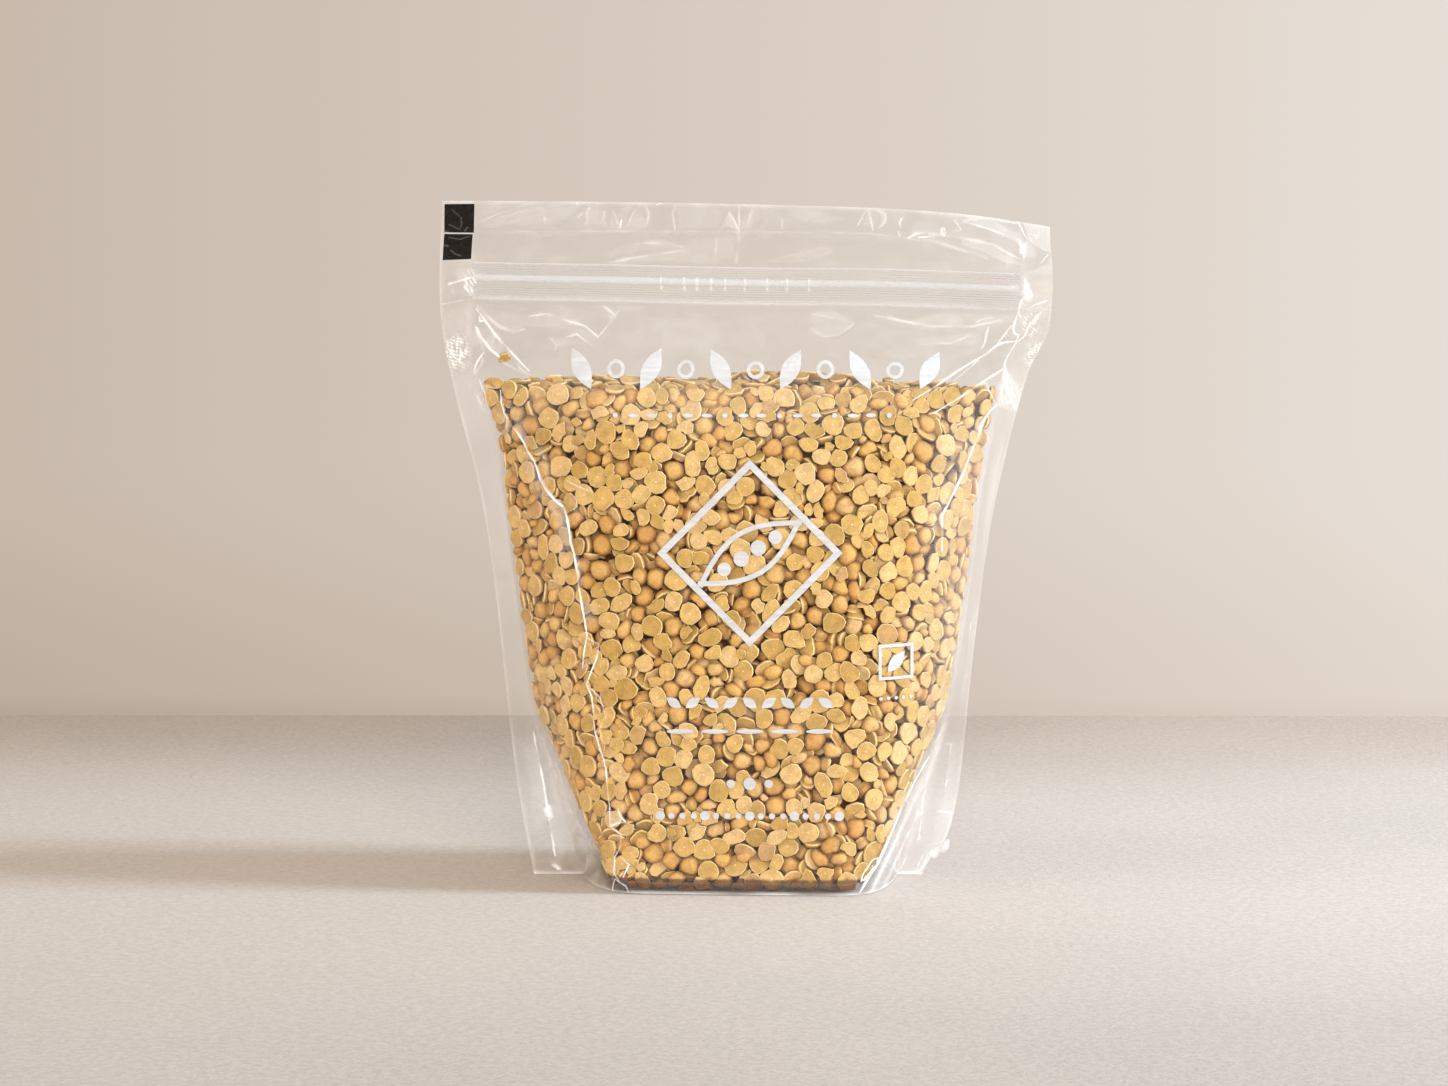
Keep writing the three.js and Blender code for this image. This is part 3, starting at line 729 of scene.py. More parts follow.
def gusset_run(shares):
    """x and height of the gusset's middle line, from its left tip round the base to its right tip."""
    left_top = [-float(corner_seam(-1, 45.9)), 45.6]
    right_top = [float(corner_seam(1, 45.9)), 45.6]
    path = [left_top, [-float(corner_seam(-1, 0.5)), 0.5], [float(corner_seam(1, 0.5)), 0.5], right_top]
    path = np.array(path)
    legs = np.concatenate([[0], np.cumsum(np.linalg.norm(np.diff(path, axis=0), axis=1))])
    dense = np.linspace(0, legs[-1], 400)
    x = np.interp(dense, legs, path[:, 0])
    z = np.interp(dense, legs, path[:, 1])
    soft = np.hanning(17) / np.hanning(17).sum()
    for values in (x, z):
        values[8:-8] = np.convolve(values, soft, mode="valid")
    return np.interp(shares, dense / legs[-1], x), np.interp(shares, dense / legs[-1], z)


gusset_mesh = grid_mesh("gusset", 120, 44)
sheet = read_points(gusset_mesh)
gusset_x, gusset_z = gusset_run(sheet[:, 0] + 0.5)
rim = sheet[:, 1] * 2
gusset_y = rim * (0.15 + film_depth(gusset_x, gusset_z))
flat_part = smoothstep(gusset_z, 9, 2)
sag = swells(gusset_x, gusset_y, 13, 1.0, 71) * 0.35 * (1 - rim ** 4)
gusset_z = gusset_z + flat_part * ((HEM_HEIGHT - 1.0) * rim ** 40 + np.maximum(sag, -0.3))
gusset_x = gusset_x + (1 - flat_part) * 0.5 * swells(gusset_y, gusset_z, 12, 1.0, 72)
keep_points(gusset_mesh, np.stack([gusset_x, gusset_y, gusset_z], axis=1))
gusset_mesh.shade_smooth()
keep_layer(gusset_mesh, "haze", 0.008 + 0.05 * seal_line(1 - np.abs(rim), 0.03))
add_piece("gusset", gusset_mesh, clear_film("gusset_film", 0.12))

# ----------------------------------------------------------------------- press-to-close zip
# Two extruded strips of milky plastic are welded inside the panels below the header. Each has
# fine ribs along it for grip and one thick bead, which snaps into the other strip.
ZIP_BOTTOM = 151.6
ZIP_HEIGHT = 10.0
ZIP_HALF = 72.0
BEAD_AT = 5.9
RIB_PITCH = 0.62
CRIMPS = [-22.3, -16.3, -12.9, -9.2, -5.5, -0.3, 5.5, 10.7, 16.5]


def zip_strip(name, side, material):
    """One strip: a ribbed sheet with a raised bead, thickened and closed."""
    ticks = [(at + off) / ZIP_HALF for at in CRIMPS for off in (-0.45, -0.15, 0.15, 0.45)]
    columns = np.unique(np.concatenate([np.linspace(-1, 1, 141), ticks]))
    mesh = grid_mesh(name, len(columns) - 1, 112, flip=side > 0)
    flat = read_points(mesh)
    x = ZIP_HALF * columns[np.rint((flat[:, 0] + 0.5) * (len(columns) - 1)).astype(int)]
    up = (flat[:, 1] + 0.5) * ZIP_HEIGHT
    bow = 0.35 * np.sin(x / 24) - 0.2 * np.cos(x / 11)
    bead = np.clip(1 - ((up - BEAD_AT) / 1.15) ** 2, 0, 1) ** 0.5
    ribs = (0.5 + 0.5 * np.cos(2 * math.pi * (up - BEAD_AT) / RIB_PITCH)) ** 2
    ribs = ribs * smoothstep(np.abs(up - BEAD_AT), 1.2, 1.5) * (0.6 + 0.4 * swells(x, up * 9, 40, 1, 81))
    crimp = sum(np.exp(-((x - at) / 0.22) ** 2) for at in CRIMPS)
    crimp = crimp * smoothstep(np.abs(up - BEAD_AT + 0.5), 1.9, 1.5)
    end = smoothstep(np.abs(x), ZIP_HALF - 4.5, ZIP_HALF - 0.5)
    crush = end * (0.5 + 0.5 * np.sin(x * 3.1 + up * 1.7) * np.sin(up * 2.3 - x))
    out = 0.75 + 0.16 * ribs + 0.72 * bead + 0.03 * crimp + 0.2 * crush - 0.35 * end
    rim_line = np.maximum(seal_line(up - 0.6, 0.9), seal_line(up - ZIP_HEIGHT, 0.5))
    points = np.stack([x, side * out, ZIP_BOTTOM + up + bow * 0.6], axis=1)
    keep_points(mesh, settle(points))
    fade = 1 - 0.7 * smoothstep(np.abs(x), ZIP_HALF - 1.6, ZIP_HALF - 0.2)
    haze = 0.025 + 0.13 * ribs + 0.22 * bead + 0.40 * crimp + 0.09 * crush + 0.15 * rim_line
    keep_layer(mesh, "haze", np.clip(haze * fade, 0, 0.95))
    solid = bmesh.new()
    solid.from_mesh(mesh)
    bmesh.ops.solidify(solid, geom=solid.faces[:], thickness=0.25 * MM)
    bmesh.ops.recalc_face_normals(solid, faces=solid.faces)
    solid.to_mesh(mesh)
    solid.free()
    mesh.shade_smooth()
    return add_piece(name, mesh, material)


def milky_plastic():
    """The zip is cloudy where it is thick, and lets the background through where it is thin."""
    milk = Finish("milky_plastic")
    streak = milk.grain(30.0, 3.0, 0.6)
    haze = milk.layer("haze") * streak.rise(0.3, 0.7, 0.8, 1.15)
    body = milk.node("ShaderNodeBsdfPrincipled", {}, {
        "Base Color": colour(212, 211, 210), "Roughness": streak.rise(0.3, 0.7, 0.55, 0.70), "IOR": 1.5,
        "Specular IOR Level": 0.12})
    return milk.see_through(haze.clamped(), body)


zip_material = milky_plastic()
zip_front = zip_strip("zip_front_strip", -1, zip_material)
zip_back = zip_strip("zip_back_strip", 1, zip_material)
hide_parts("zip_strip_front")
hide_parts("zip_strip_back")

# --------------------------------------------------------------------------------- core of peas
# The middle of the filling is never seen. This closed block fills it, painted as dark as the shade
# in the gaps between the peas, and the real peas lie over it.
FILL_HEIGHT = 129.0
HEAP_RISE = 3.2
HEAP_RIPPLE = 1.1
PEA_SHELL = 6.2


def heap_top(across, through):
    """Height of the top of the filling, with across and through from -1 to 1."""
    ripple = 0.4 * HEAP_RIPPLE * (np.sin(7 * across) + 0.7 * np.sin(17 * across + 1))
    heap = HEAP_RISE + HEAP_RIPPLE * np.sin(9 * across + 3 * through)
    corner = 2.4 * smoothstep(-across, 0.72, 0.95)
    return FILL_HEIGHT + 1.2 + ripple + corner + heap * (1 - through ** 2) * (1 - across ** 2)


block = bmesh.new()
bmesh.ops.create_cube(block, size=2)
bmesh.ops.subdivide_edges(block, edges=block.edges, cuts=15, use_grid_fill=True)
core_mesh = as_mesh("pea_core", block)
across, through, up = read_points(core_mesh).T
core_z = PEA_SHELL + (heap_top(across, through) - 2 * PEA_SHELL) * (up + 1) / 2
core_left = corner_seam(-1, core_z) - PEA_SHELL - 1.5
core_right = corner_seam(1, core_z) - PEA_SHELL - 1.5
core_x = -core_left + (core_left + core_right) * (np.sin(math.pi / 2 * across) + 1) / 2
core_y = through * np.maximum(film_depth(core_x, core_z) - PEA_SHELL, 1.0)
keep_points(core_mesh, np.stack([core_x, core_y, core_z], axis=1))
core_mesh.shade_smooth()


def shadowed_peas():
    dark = Finish("shadowed_peas")
    speck = dark.grain(330.0, 3.0, 0.6)
    # Painted shade: the dark browns of peas lying in shadow.
    tint = dark.blend(speck.rise(0.35, 0.65), colour(96, 52, 20), colour(126, 74, 28))
    skin = dark.bump(speck, 0.6, 0.002)
    return dark.surface(dark.node("ShaderNodeBsdfPrincipled", {}, {
        "Base Color": tint, "Roughness": 0.85, "Normal": skin}))


add_piece("pea_core", core_mesh, shadowed_peas())

# ------------------------------------------------------------------------------------- split peas
# Dried yellow peas without their skins, split in half: flat on one side and domed on the other,
# with a few oval, notched and broken ones. They are settled against the film two or three deep.
PEA_SIDES = 12
chance = np.random.default_rng(2207)


def depth_tables():
    x = np.arange(-84, 84.01, 0.5)
    z = np.arange(-4, 142.01, 0.5)
    grid_x, grid_z = np.meshgrid(x, z, indexing="ij")
    depth = np.maximum(film_depth(grid_x, np.clip(grid_z, 0, 141), stop=1.4), -25)
    slope_x, slope_z = np.gradient(depth, 0.5)
    return np.stack([depth, np.clip(slope_x, -6, 6), slope_z], axis=2)


DEPTHS = depth_tables()


def read_depth(x, z):
    a = np.clip((x + 84) * 2, 0, DEPTHS.shape[0] - 1.001)
    b = np.clip((z + 4) * 2, 0, DEPTHS.shape[1] - 1.001)
    i, j = a.astype(int), b.astype(int)
    a, b = (a - i)[..., None], (b - j)[..., None]
    low = DEPTHS[i, j] * (1 - a) + DEPTHS[i + 1, j] * a
    high = DEPTHS[i, j + 1] * (1 - a) + DEPTHS[i + 1, j + 1] * a
    return low * (1 - b) + high * b


def walls(points):
    """Each point's distance from the panels, the corner seams, the base and the top of the heap,
    with the outward direction of each."""
    x, y, z = points[..., 0], points[..., 1], points[..., 2]
    depth, slope_x, slope_z = np.moveaxis(read_depth(x, z), -1, 0)
    side = np.where(x < 0, -1.0, 1.0)
    face = np.where(y < 0, -1.0, 1.0)
    size = np.sqrt(slope_x ** 2 + slope_z ** 2 + 1)
    panel_gap = (depth - 0.05 - np.abs(y)) / size
    panel_way = np.stack([-slope_x, face, -slope_z], -1) / size[..., None]
    height = np.clip(z, 0, 140)
    edge = np.where(x < 0, corner_seam(-1, height), corner_seam(1, height))
    lean = np.where(height < CORNER_TOP, 0.48, 0.12)
    seam_gap = (edge - np.abs(x)) / np.sqrt(1 + lean ** 2)
    seam_way = np.stack([side, np.zeros_like(x), -lean], -1) / np.sqrt(1 + lean ** 2)[..., None]
    floor_gap = z - 0.9
    floor_way = np.zeros_like(points)
    floor_way[..., 2] = -1
    across = np.clip(x / edge, -1, 1)
    through = np.clip(y / np.maximum(depth, 1), -1, 1)
    top_gap = heap_top(across, through) + 0.6 * np.sin(x * 1.1 + y * 0.7) * np.sin(y * 1.3) - z
    gaps = np.stack([panel_gap, seam_gap, floor_gap, top_gap], -1)
    ways = np.stack([panel_way, seam_way, floor_way, -floor_way], -2)
    return gaps, ways


def outline_at(outlines, angle):
    """An uneven outline's radius in a direction."""
    turn = (angle / (2 * math.pi) * PEA_SIDES) % PEA_SIDES
    low = turn.astype(int) % PEA_SIDES
    part = turn - np.floor(turn)
    rows = np.arange(len(outlines)).reshape((-1,) + (1,) * (angle.ndim - 1))
    return outlines[rows, low] * (1 - part) + outlines[rows, (low + 1) % PEA_SIDES] * part


def near_pairs(middles, reach):
    """Every ordered pair of peas whose middles are within reach."""
    tree = kdtree.KDTree(len(middles))
    for number, middle in enumerate(middles.tolist()):
        tree.insert(middle, number)
    tree.balance()
    first, second = [], []
    for number, middle in enumerate(middles.tolist()):
        for _, other, _ in tree.find_range(middle, reach):
            if other != number:
                first.append(number)
                second.append(other)
    return np.array(first), np.array(second)


# Kinds of pea: share of the filling, and the range of its radius and of its thickness.
PEA_KINDS = {
    "round_halves": (0.31, (2.4, 3.3), (2.0, 2.6)),
    "oval_halves": (0.20, (2.0, 2.7), (1.9, 2.5)),
    "notched_halves": (0.15, (2.3, 3.1), (1.9, 2.5)),
    "wedge_pieces": (0.16, (2.1, 3.0), (1.6, 2.3)),
    "small_bits": (0.18, (1.0, 2.0), (1.1, 1.9)),
}
BOX_LOW, BOX_HIGH = np.array([-70, -32, 0]), np.array([68, 32, 135])
FILLED_SHARE = 0.71
MEAN_PEA = 31.0
shell_points = chance.uniform(BOX_LOW, BOX_HIGH, (60000, 3))
shell_gaps = walls(shell_points)[0].min(1)
shell_volume = (BOX_HIGH - BOX_LOW).prod() * np.mean((shell_gaps > 0) & (shell_gaps < PEA_SHELL))
pea_count = int(shell_volume * FILLED_SHARE / MEAN_PEA)
started = chance.uniform(BOX_LOW, BOX_HIGH, (pea_count * 12, 3))
start_gaps, start_ways = walls(started)
chosen = np.flatnonzero((start_gaps.min(1) > 1.0) & (start_gaps.min(1) < PEA_SHELL - 0.8))[:pea_count]
pea_count = len(chosen)
middle = started[chosen]
# Millimetres by which a pea would rather face the panels than the seams, the base or the top.
FACING_WALLS = np.array([0.0, 0.6, 2.0, 4.0])
nearest_wall = (start_gaps[chosen] + FACING_WALLS).argmin(1)
out_way = start_ways[chosen][np.arange(pea_count), nearest_wall]

kind_names = list(PEA_KINDS)
kind = chance.choice(len(kind_names), pea_count, p=[PEA_KINDS[k][0] for k in kind_names])
radius = np.empty(pea_count)
thick = np.empty(pea_count)
angle = np.arange(PEA_SIDES) / PEA_SIDES * 2 * math.pi
outline = np.ones((pea_count, PEA_SIDES))
for harmonic, amount in ((2, 0.095), (3, 0.082), (4, 0.056), (5, 0.040)):
    phase = chance.uniform(0, 2 * math.pi, (pea_count, 1))
    outline += amount * chance.uniform(0.2, 1, (pea_count, 1)) * np.cos(harmonic * angle + phase)
for number, name in enumerate(kind_names):
    these = np.flatnonzero(kind == number)
    _, radii, thicks = PEA_KINDS[name]
    radius[these] = chance.uniform(*radii, len(these))
    thick[these] = chance.uniform(*thicks, len(these))
    size = len(these)
    if name == "oval_halves":
        longer = chance.uniform(1.12, 1.42, (size, 1))
        outline[these] *= 1 / np.sqrt((np.cos(angle) / longer) ** 2 + (np.sin(angle) * longer ** 0.4) ** 2)
    if name == "notched_halves":
        bite = np.maximum(0, np.cos(angle - 0.1)) ** 6 * chance.uniform(0.25, 0.42, (size, 1))
        outline[these] *= 1 - bite
    if name == "wedge_pieces":
        cut = chance.uniform(0.15, 0.5, (size, 1))
        outline[these] = np.minimum(outline[these], cut / np.maximum(np.cos(angle), 0.02))
        outline[these] = np.maximum(outline[these], 0.35)
    if name == "small_bits":
        outline[these] *= 1 + 0.35 * chance.uniform(-1, 1, (size, PEA_SIDES)) * 0.6
        outline[these] *= 1 / np.sqrt((np.cos(angle) / 1.35) ** 2 + np.sin(angle) ** 2)
outline *= radius[:, None]
soft = np.minimum(0.47 * thick, 0.40 * radius)

# A pea is settled as nine small balls: its middle, and eight round its edge.
BALLS = 9
ball_angle = np.tile(np.arange(BALLS - 1) / (BALLS - 1) * 2 * math.pi, (pea_count, 1))
ball_out = np.maximum(outline_at(outline, ball_angle) - soft[:, None], 0.15)
arms = np.zeros((pea_count, BALLS, 3))
arms[:, 1:, 0] = ball_out * np.cos(ball_angle)
arms[:, 1:, 1] = ball_out * np.sin(ball_angle)
arms_middle = arms.mean(1)
ball_size = np.repeat(soft[:, None], BALLS, 1)
facing = chance.uniform(0, 1, pea_count) < 0.76
axis = np.where(facing[:, None], out_way + chance.normal(0, 0.28, (pea_count, 3)),
                chance.normal(0, 1, (pea_count, 3)))
axis /= np.linalg.norm(axis, axis=1)[:, None]
axis *= np.where(chance.uniform(0, 1, (pea_count, 1)) < 0.74, 1.0, -1.0)
spin_way = chance.normal(0, 1, (pea_count, 3))
spin_way -= (spin_way * axis).sum(1)[:, None] * axis
spin_way /= np.linalg.norm(spin_way, axis=1)[:, None]
turn = np.stack([spin_way, np.cross(axis, spin_way), axis], axis=2)

SETTLE_STEPS = 90
TOUCH_REACH = 6.6
for step in range(SETTLE_STEPS):
    if step % 8 == 0:
        all_first, all_second = near_pairs(middle, TOUCH_REACH)
    reach = np.linalg.norm(middle[all_first] - middle[all_second], axis=1)
    touch = reach < outline.max(1)[all_first] + outline.max(1)[all_second]
    first, second = all_first[touch], all_second[touch]
    ball = middle[:, None] + np.einsum("nij,nkj->nki", turn, arms)
    push = np.zeros_like(ball)
    hits = np.zeros((pea_count, BALLS))
    local = np.einsum("pkj,pji->pki", ball[first] - middle[second][:, None], turn[second])
    flat = np.hypot(local[..., 0], local[..., 1])
    limit = outline_at(outline[second], np.arctan2(local[..., 1], local[..., 0])) - soft[second][:, None]
    inward = np.minimum(1, np.maximum(limit, 0.1) / np.maximum(flat, 1e-6))[..., None]
    away = local - np.concatenate([local[..., :2] * inward, np.zeros_like(inward)], -1)
    gap = np.linalg.norm(away, axis=2)
    overlap = np.maximum(ball_size[first] + soft[second][:, None] - gap, 0)
    shove = away / np.maximum(gap, 1e-6)[..., None] * (0.5 * overlap)[..., None]
    shove = np.einsum("pkj,pij->pki", shove, turn[second])
    starts = np.searchsorted(first, np.arange(pea_count))
    some = np.flatnonzero(np.diff(np.append(starts, len(first))) > 0)
    push[some] = np.add.reduceat(shove, starts[some], axis=0)
    hits[some] = np.add.reduceat((overlap > 0).astype(float), starts[some], axis=0)
    ball += push / np.maximum(hits, 1)[..., None] * 1.3
    gaps, ways = walls(ball)
    nearest_wall = (gaps.mean(1) + FACING_WALLS).argmin(1)
    rows = np.arange(pea_count)
    way = ways[rows, :, nearest_wall].mean(1)
    inside = gaps.mean(1)[rows, nearest_wall]
    pull = 0.16 * max(0.0, 1 - step / (SETTLE_STEPS * 0.85))
    ball += (way * (pull + 0.3 * np.maximum(inside - PEA_SHELL + 1.2, 0))[:, None])[:, None]
    short = np.maximum(ball_size[..., None] - gaps, 0)
    ball -= (short[..., None] * ways).sum(2)
    middle_now = ball.mean(1)
    spread = np.einsum("nki,nkj->nij", ball - middle_now[:, None], arms - arms_middle[:, None])
    spread += 1e-3 * turn
    u, _, vt = np.linalg.svd(spread)
    flip = np.linalg.det(u @ vt)
    u[:, :, 2] *= flip[:, None]
    turn = u @ vt
    lay = turn[:, :, 2]
    lean_to = np.sign((lay * way).sum(1))[:, None] * way - lay
    lay = lay + lean_to * np.where(facing & (inside < 3.6), 0.07, 0.0)[:, None]
    lay /= np.linalg.norm(lay, axis=1)[:, None]
    spin_way = turn[:, :, 0] - (turn[:, :, 0] * lay).sum(1)[:, None] * lay
    spin_way /= np.linalg.norm(spin_way, axis=1)[:, None]
    turn = np.stack([spin_way, np.cross(lay, spin_way), lay], axis=2)
    middle = middle_now - np.einsum("nij,nj->ni", turn, arms_middle)

# One small bit has stuck to the film above the heap. Whatever leans on the film is moved inside it.
STRAY_X, STRAY_Z = -64.0, 138.3
stray = int(np.flatnonzero(kind == kind_names.index("small_bits"))[0])
outline[stray] *= 0.75
middle[stray] = (STRAY_X, 0.8 - film_depth(np.array([STRAY_X]), np.array([STRAY_Z]))[0], STRAY_Z)
turn[stray] = np.array([[0.88, 0.0, 0.47], [-0.42, -0.45, 0.79], [0.21, -0.89, -0.39]]).T
for _ in range(3):
    rim_points = np.zeros((pea_count, PEA_SIDES * 2, 3))
    for part, out, high in ((slice(0, PEA_SIDES), 1.0, 0.40), (slice(PEA_SIDES, None), 0.55, -0.45)):
        rim_points[:, part, 0] = outline * np.cos(angle) * out
        rim_points[:, part, 1] = outline * np.sin(angle) * out
        rim_points[:, part, 2] = high * thick[:, None]
    gaps, ways = walls(middle[:, None] + np.einsum("nij,nkj->nki", turn, rim_points))
    for wall_number in range(3):
        worst = gaps[:, :, wall_number].argmin(1)
        rows = np.arange(pea_count)
        out_by = np.maximum(0.12 - gaps[rows, worst, wall_number], 0)
        middle -= out_by[:, None] * ways[rows, worst, wall_number]

# One pea's rings, from the middle of its flat face over the edge to the top of its dome: how far
# out, how high as a share of its thickness, and the place on the pea that the finish reads.
RINGS = [(0.0, 0.46, 0.0), (0.92, 0.50, 0.9), (1.0, 0.37, 1.0), (0.94, -0.05, 1.3), (0.60, -0.38, 1.7),
         (0.0, -0.50, 2.0)]
DRAWN_SIZE = 0.95


def pea_faces():
    """Faces of one pea: its vertices are the flat middle, four rings, and the dome's top."""
    tip = 1 + 4 * PEA_SIDES
    faces = []
    for i in range(PEA_SIDES):
        j = (i + 1) % PEA_SIDES
        faces.append((0, 1 + i, 1 + j))
        for ring in range(3):
            low, high = 1 + ring * PEA_SIDES, 1 + (ring + 1) * PEA_SIDES
            faces.append((low + i, high + i, high + j, low + j))
        faces.append((tip, 1 + 3 * PEA_SIDES + j, 1 + 3 * PEA_SIDES + i))
    return faces


def shaded_by_others(these, points):
    """How far each point is in the shadow of a pea that lies over or beside it, from 0 to 1."""
    row = np.full(pea_count, -1)
    row[these] = np.arange(len(these))
    mine = row[near_first] >= 0
    own, other = near_first[mine], near_second[mine]
    local = np.einsum("pkj,pji->pki", points[row[own]] - middle[other][:, None], turn[other])
    aside = np.hypot(local[..., 0], local[..., 1])
    aside = aside - outline_at(outline[other], np.arctan2(local[..., 1], local[..., 0])) * DRAWN_SIZE
    under = walls(points)[0].min(2)[row[own]] - (pea_depth - 0.42 * thick)[other][:, None]
    shade = smoothstep(aside, 0.75, 0.0) * smoothstep(under, 0.15, 1.3)
    starts = np.searchsorted(own, these)
    some = np.flatnonzero(np.diff(np.append(starts, len(own))) > 0)
    total = np.zeros(points.shape[:2])
    total[some] = np.maximum.reduceat(shade, starts[some], axis=0)
    return total


SHADE_REACH = 6.8
near_first, near_second = near_pairs(middle, SHADE_REACH)
pea_depth = walls(middle)[0].min(1)


def join_peas(name, these, material):
    """One mesh of all the peas of a kind, each at its own place and turn."""
    count = len(these)
    corners, place_on = [], []
    for out, high, place in RINGS:
        sides = PEA_SIDES if out else 1
        ring = np.zeros((count, sides, 3))
        ring[..., 0] = outline[these, :sides] * out * DRAWN_SIZE * np.cos(angle[:sides])
        ring[..., 1] = outline[these, :sides] * out * DRAWN_SIZE * np.sin(angle[:sides])
        ring[..., 2] = high * thick[these][:, None]
        corners.append(ring)
        place_on.append(np.full(sides, place))
    corners = np.concatenate(corners, axis=1)
    place_on = np.concatenate(place_on)
    dent = chance.normal(0, 0.045, corners.shape)
    corners = corners + dent * np.array([0.4, 0.4, 1.0])
    points = middle[these][:, None] + np.einsum("nij,nkj->nki", turn[these], corners)
    per_pea = corners.shape[1]
    faces = pea_faces()
    loops = np.concatenate([np.array(f) for f in faces])
    totals = np.array([len(f) for f in faces])
    all_loops = (loops + np.arange(count)[:, None] * per_pea).ravel()
    all_starts = np.concatenate([[0], np.cumsum(np.tile(totals, count))[:-1]])
    mesh = bpy.data.meshes.new(name)
    mesh.vertices.add(count * per_pea)
    mesh.loops.add(len(all_loops))
    mesh.polygons.add(count * len(faces))
    mesh.loops.foreach_set("vertex_index", all_loops.astype(np.int32))
    mesh.polygons.foreach_set("loop_start", all_starts.astype(np.int32))
    keep_points(mesh, points.reshape(-1, 3))
    mesh.update(calc_edges=True)
    mesh.validate()
    mesh.shade_smooth()
    ends = np.empty(len(mesh.edges) * 2, np.int32)
    mesh.edges.foreach_get("vertices", ends)
    on_rim = np.tile(place_on, count)[ends.reshape(-1, 2)] == RINGS[1][2]
    mesh.attributes.new("sharp_edge", "BOOLEAN", "EDGE").data.foreach_set("value", on_rim.all(1))
    keep_layer(mesh, "place_on_pea", np.tile(place_on, count))
    keep_layer(mesh, "tone", np.repeat(chance.uniform(0, 1, count), per_pea))
    keep_layer(mesh, "warmth", np.repeat(chance.uniform(0, 1, count), per_pea))
    # Painted shade: how far other peas shade each point, less towards the middle of the flat face.
    keep_layer(mesh, "shaded", (shaded_by_others(these, points) * np.minimum(place_on, 1)).ravel())
    # Painted shade at the hem: peas lower than about five millimetres count as deep in the heap, so they
    # darken.
    hem_shade = 6.0 * smoothstep(points[..., 2], 5.0, 2.8)
    keep_layer(mesh, "buried", np.maximum(walls(points)[0].min(2), hem_shade).ravel())
    return add_piece(name, mesh, material)


def dried_pea():
    """Matt floury flesh: tan to gold from pea to pea, deeper on the dome, a pale edge that is partly a
    painted highlight, and painted shade on the sides, deep in the heap and under other peas.
    """
    pea = Finish("dried_pea")
    place_on = pea.layer("place_on_pea")
    tone = pea.layer("tone")
    flour = pea.grain(2600.0, 2.0, 0.6)
    blotch = pea.grain(420.0, 2.0, 0.5)
    flat = pea.node("ShaderNodeValToRGB", {"ramp": [
        (0.0, colour(169, 131, 88)), (0.05, colour(163, 129, 69)), (0.25, colour(175, 140, 77)),
        (0.6, colour(184, 149, 88)), (1.0, colour(190, 158, 108))]}, {0: tone})
    dome = pea.node("ShaderNodeValToRGB", {"ramp": [
        (0.0, colour(181, 134, 74)), (0.4, colour(189, 147, 84)), (0.75, colour(193, 155, 95)),
        (1.0, colour(190, 154, 105))]}, {0: pea.layer("warmth")})
    tint = pea.blend(place_on.rise(0.98, 1.2), flat, dome)
    shade = blotch.rise(0.3, 0.7, -0.13, 0.12) + flour.rise(0.35, 0.65, -0.11, 0.11)
    tint = pea.node("ShaderNodeHueSaturation", {}, {"Value": 1.0 + shade, "Color": tint})
    # A pale edge round the flat face: partly bare flesh, partly a painted highlight on the bevel.
    pale_rim = place_on.rise(0.88, 0.93) * place_on.rise(1.04, 0.99)
    tint = pea.blend(0.85 * pale_rim * flour.rise(0.2, 0.5, 0.5, 1.0), tint, colour(221, 192, 140))
    # A pale spot in the middle of the flat face, on most of the peas.
    middle_spot = place_on.rise(0.12, 0.04) * tone.rise(0.30, 0.40)
    tint = pea.blend(0.7 * middle_spot, tint, colour(224, 200, 158))
    # Painted shade on the pea's side wall and the lower part of its dome, where its neighbours shade it.
    under = place_on.rise(1.04, 1.22) * place_on.rise(1.75, 1.25)
    tint = pea.node("ShaderNodeMix", {"data_type": "RGBA", "blend_type": "MULTIPLY"}, {
        0: 0.45 * under, 6: tint, 7: colour(150, 106, 62)}, out=2)
    # Painted shade: points deep from the film, and those low at the hem, darken towards dark brown, and more
    # where another pea lies over or beside them.
    deep = pea.layer("buried").rise(1.7, 4.0, 0.0, 0.84)
    deep = deep + pea.layer("buried").rise(4.6, 6.0, 0.0, 0.09)
    painted_shade = 1.0 - (1.0 - deep) * (1.0 - 0.56 * pea.layer("shaded"))
    tint = pea.node("ShaderNodeMix", {"data_type": "RGBA", "blend_type": "MULTIPLY"}, {
        0: painted_shade.clamped(), 6: tint, 7: colour(104, 66, 24)}, out=2)
    skin = pea.bump(flour + 0.5 * blotch, 0.35, 0.0003)
    body = pea.node("ShaderNodeBsdfPrincipled", {}, {
        "Base Color": tint, "Roughness": 0.78, "IOR": 1.4, "Specular IOR Level": 0.25, "Normal": skin})
    return pea.surface(body)


pea_material = dried_pea()
for number, name in enumerate(kind_names):
    piece = join_peas(name, np.flatnonzero(kind == number), pea_material)
    if number == 0:
        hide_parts("split_peas")

# ------------------------------------------------------------------------------------------ print
# White ink printed on the front web before it was made into the pouch: a plain leaf border, a
# pod in a diamond frame, and small rules and dots. It lies on the film and follows its shape.
INK_LIFT = 0.13


def drawn(ink, made, length, width, turn, x, height, pointed=False):
    """Sizes, turns and places a new flat shape."""
    verts = made["verts"]
    if pointed:
        for v in verts:
            v.co.y *= max(0.0, 1 - abs(v.co.x) ** 1.8) ** 0.6
    bmesh.ops.scale(ink, vec=(length / 2, width / 2, 1), verts=verts)
    bmesh.ops.rotate(ink, matrix=Matrix.Rotation(math.radians(turn), 3, "Z"), verts=verts)
    bmesh.ops.translate(ink, vec=(x, height, 0), verts=verts)
    return verts


def spot(ink, x, height, length, width=None, turn=0.0, pointed=False, sides=24):
    made = bmesh.ops.create_circle(ink, cap_ends=True, segments=sides, radius=1)
    return drawn(ink, made, length, width or length, turn, x, height, pointed)


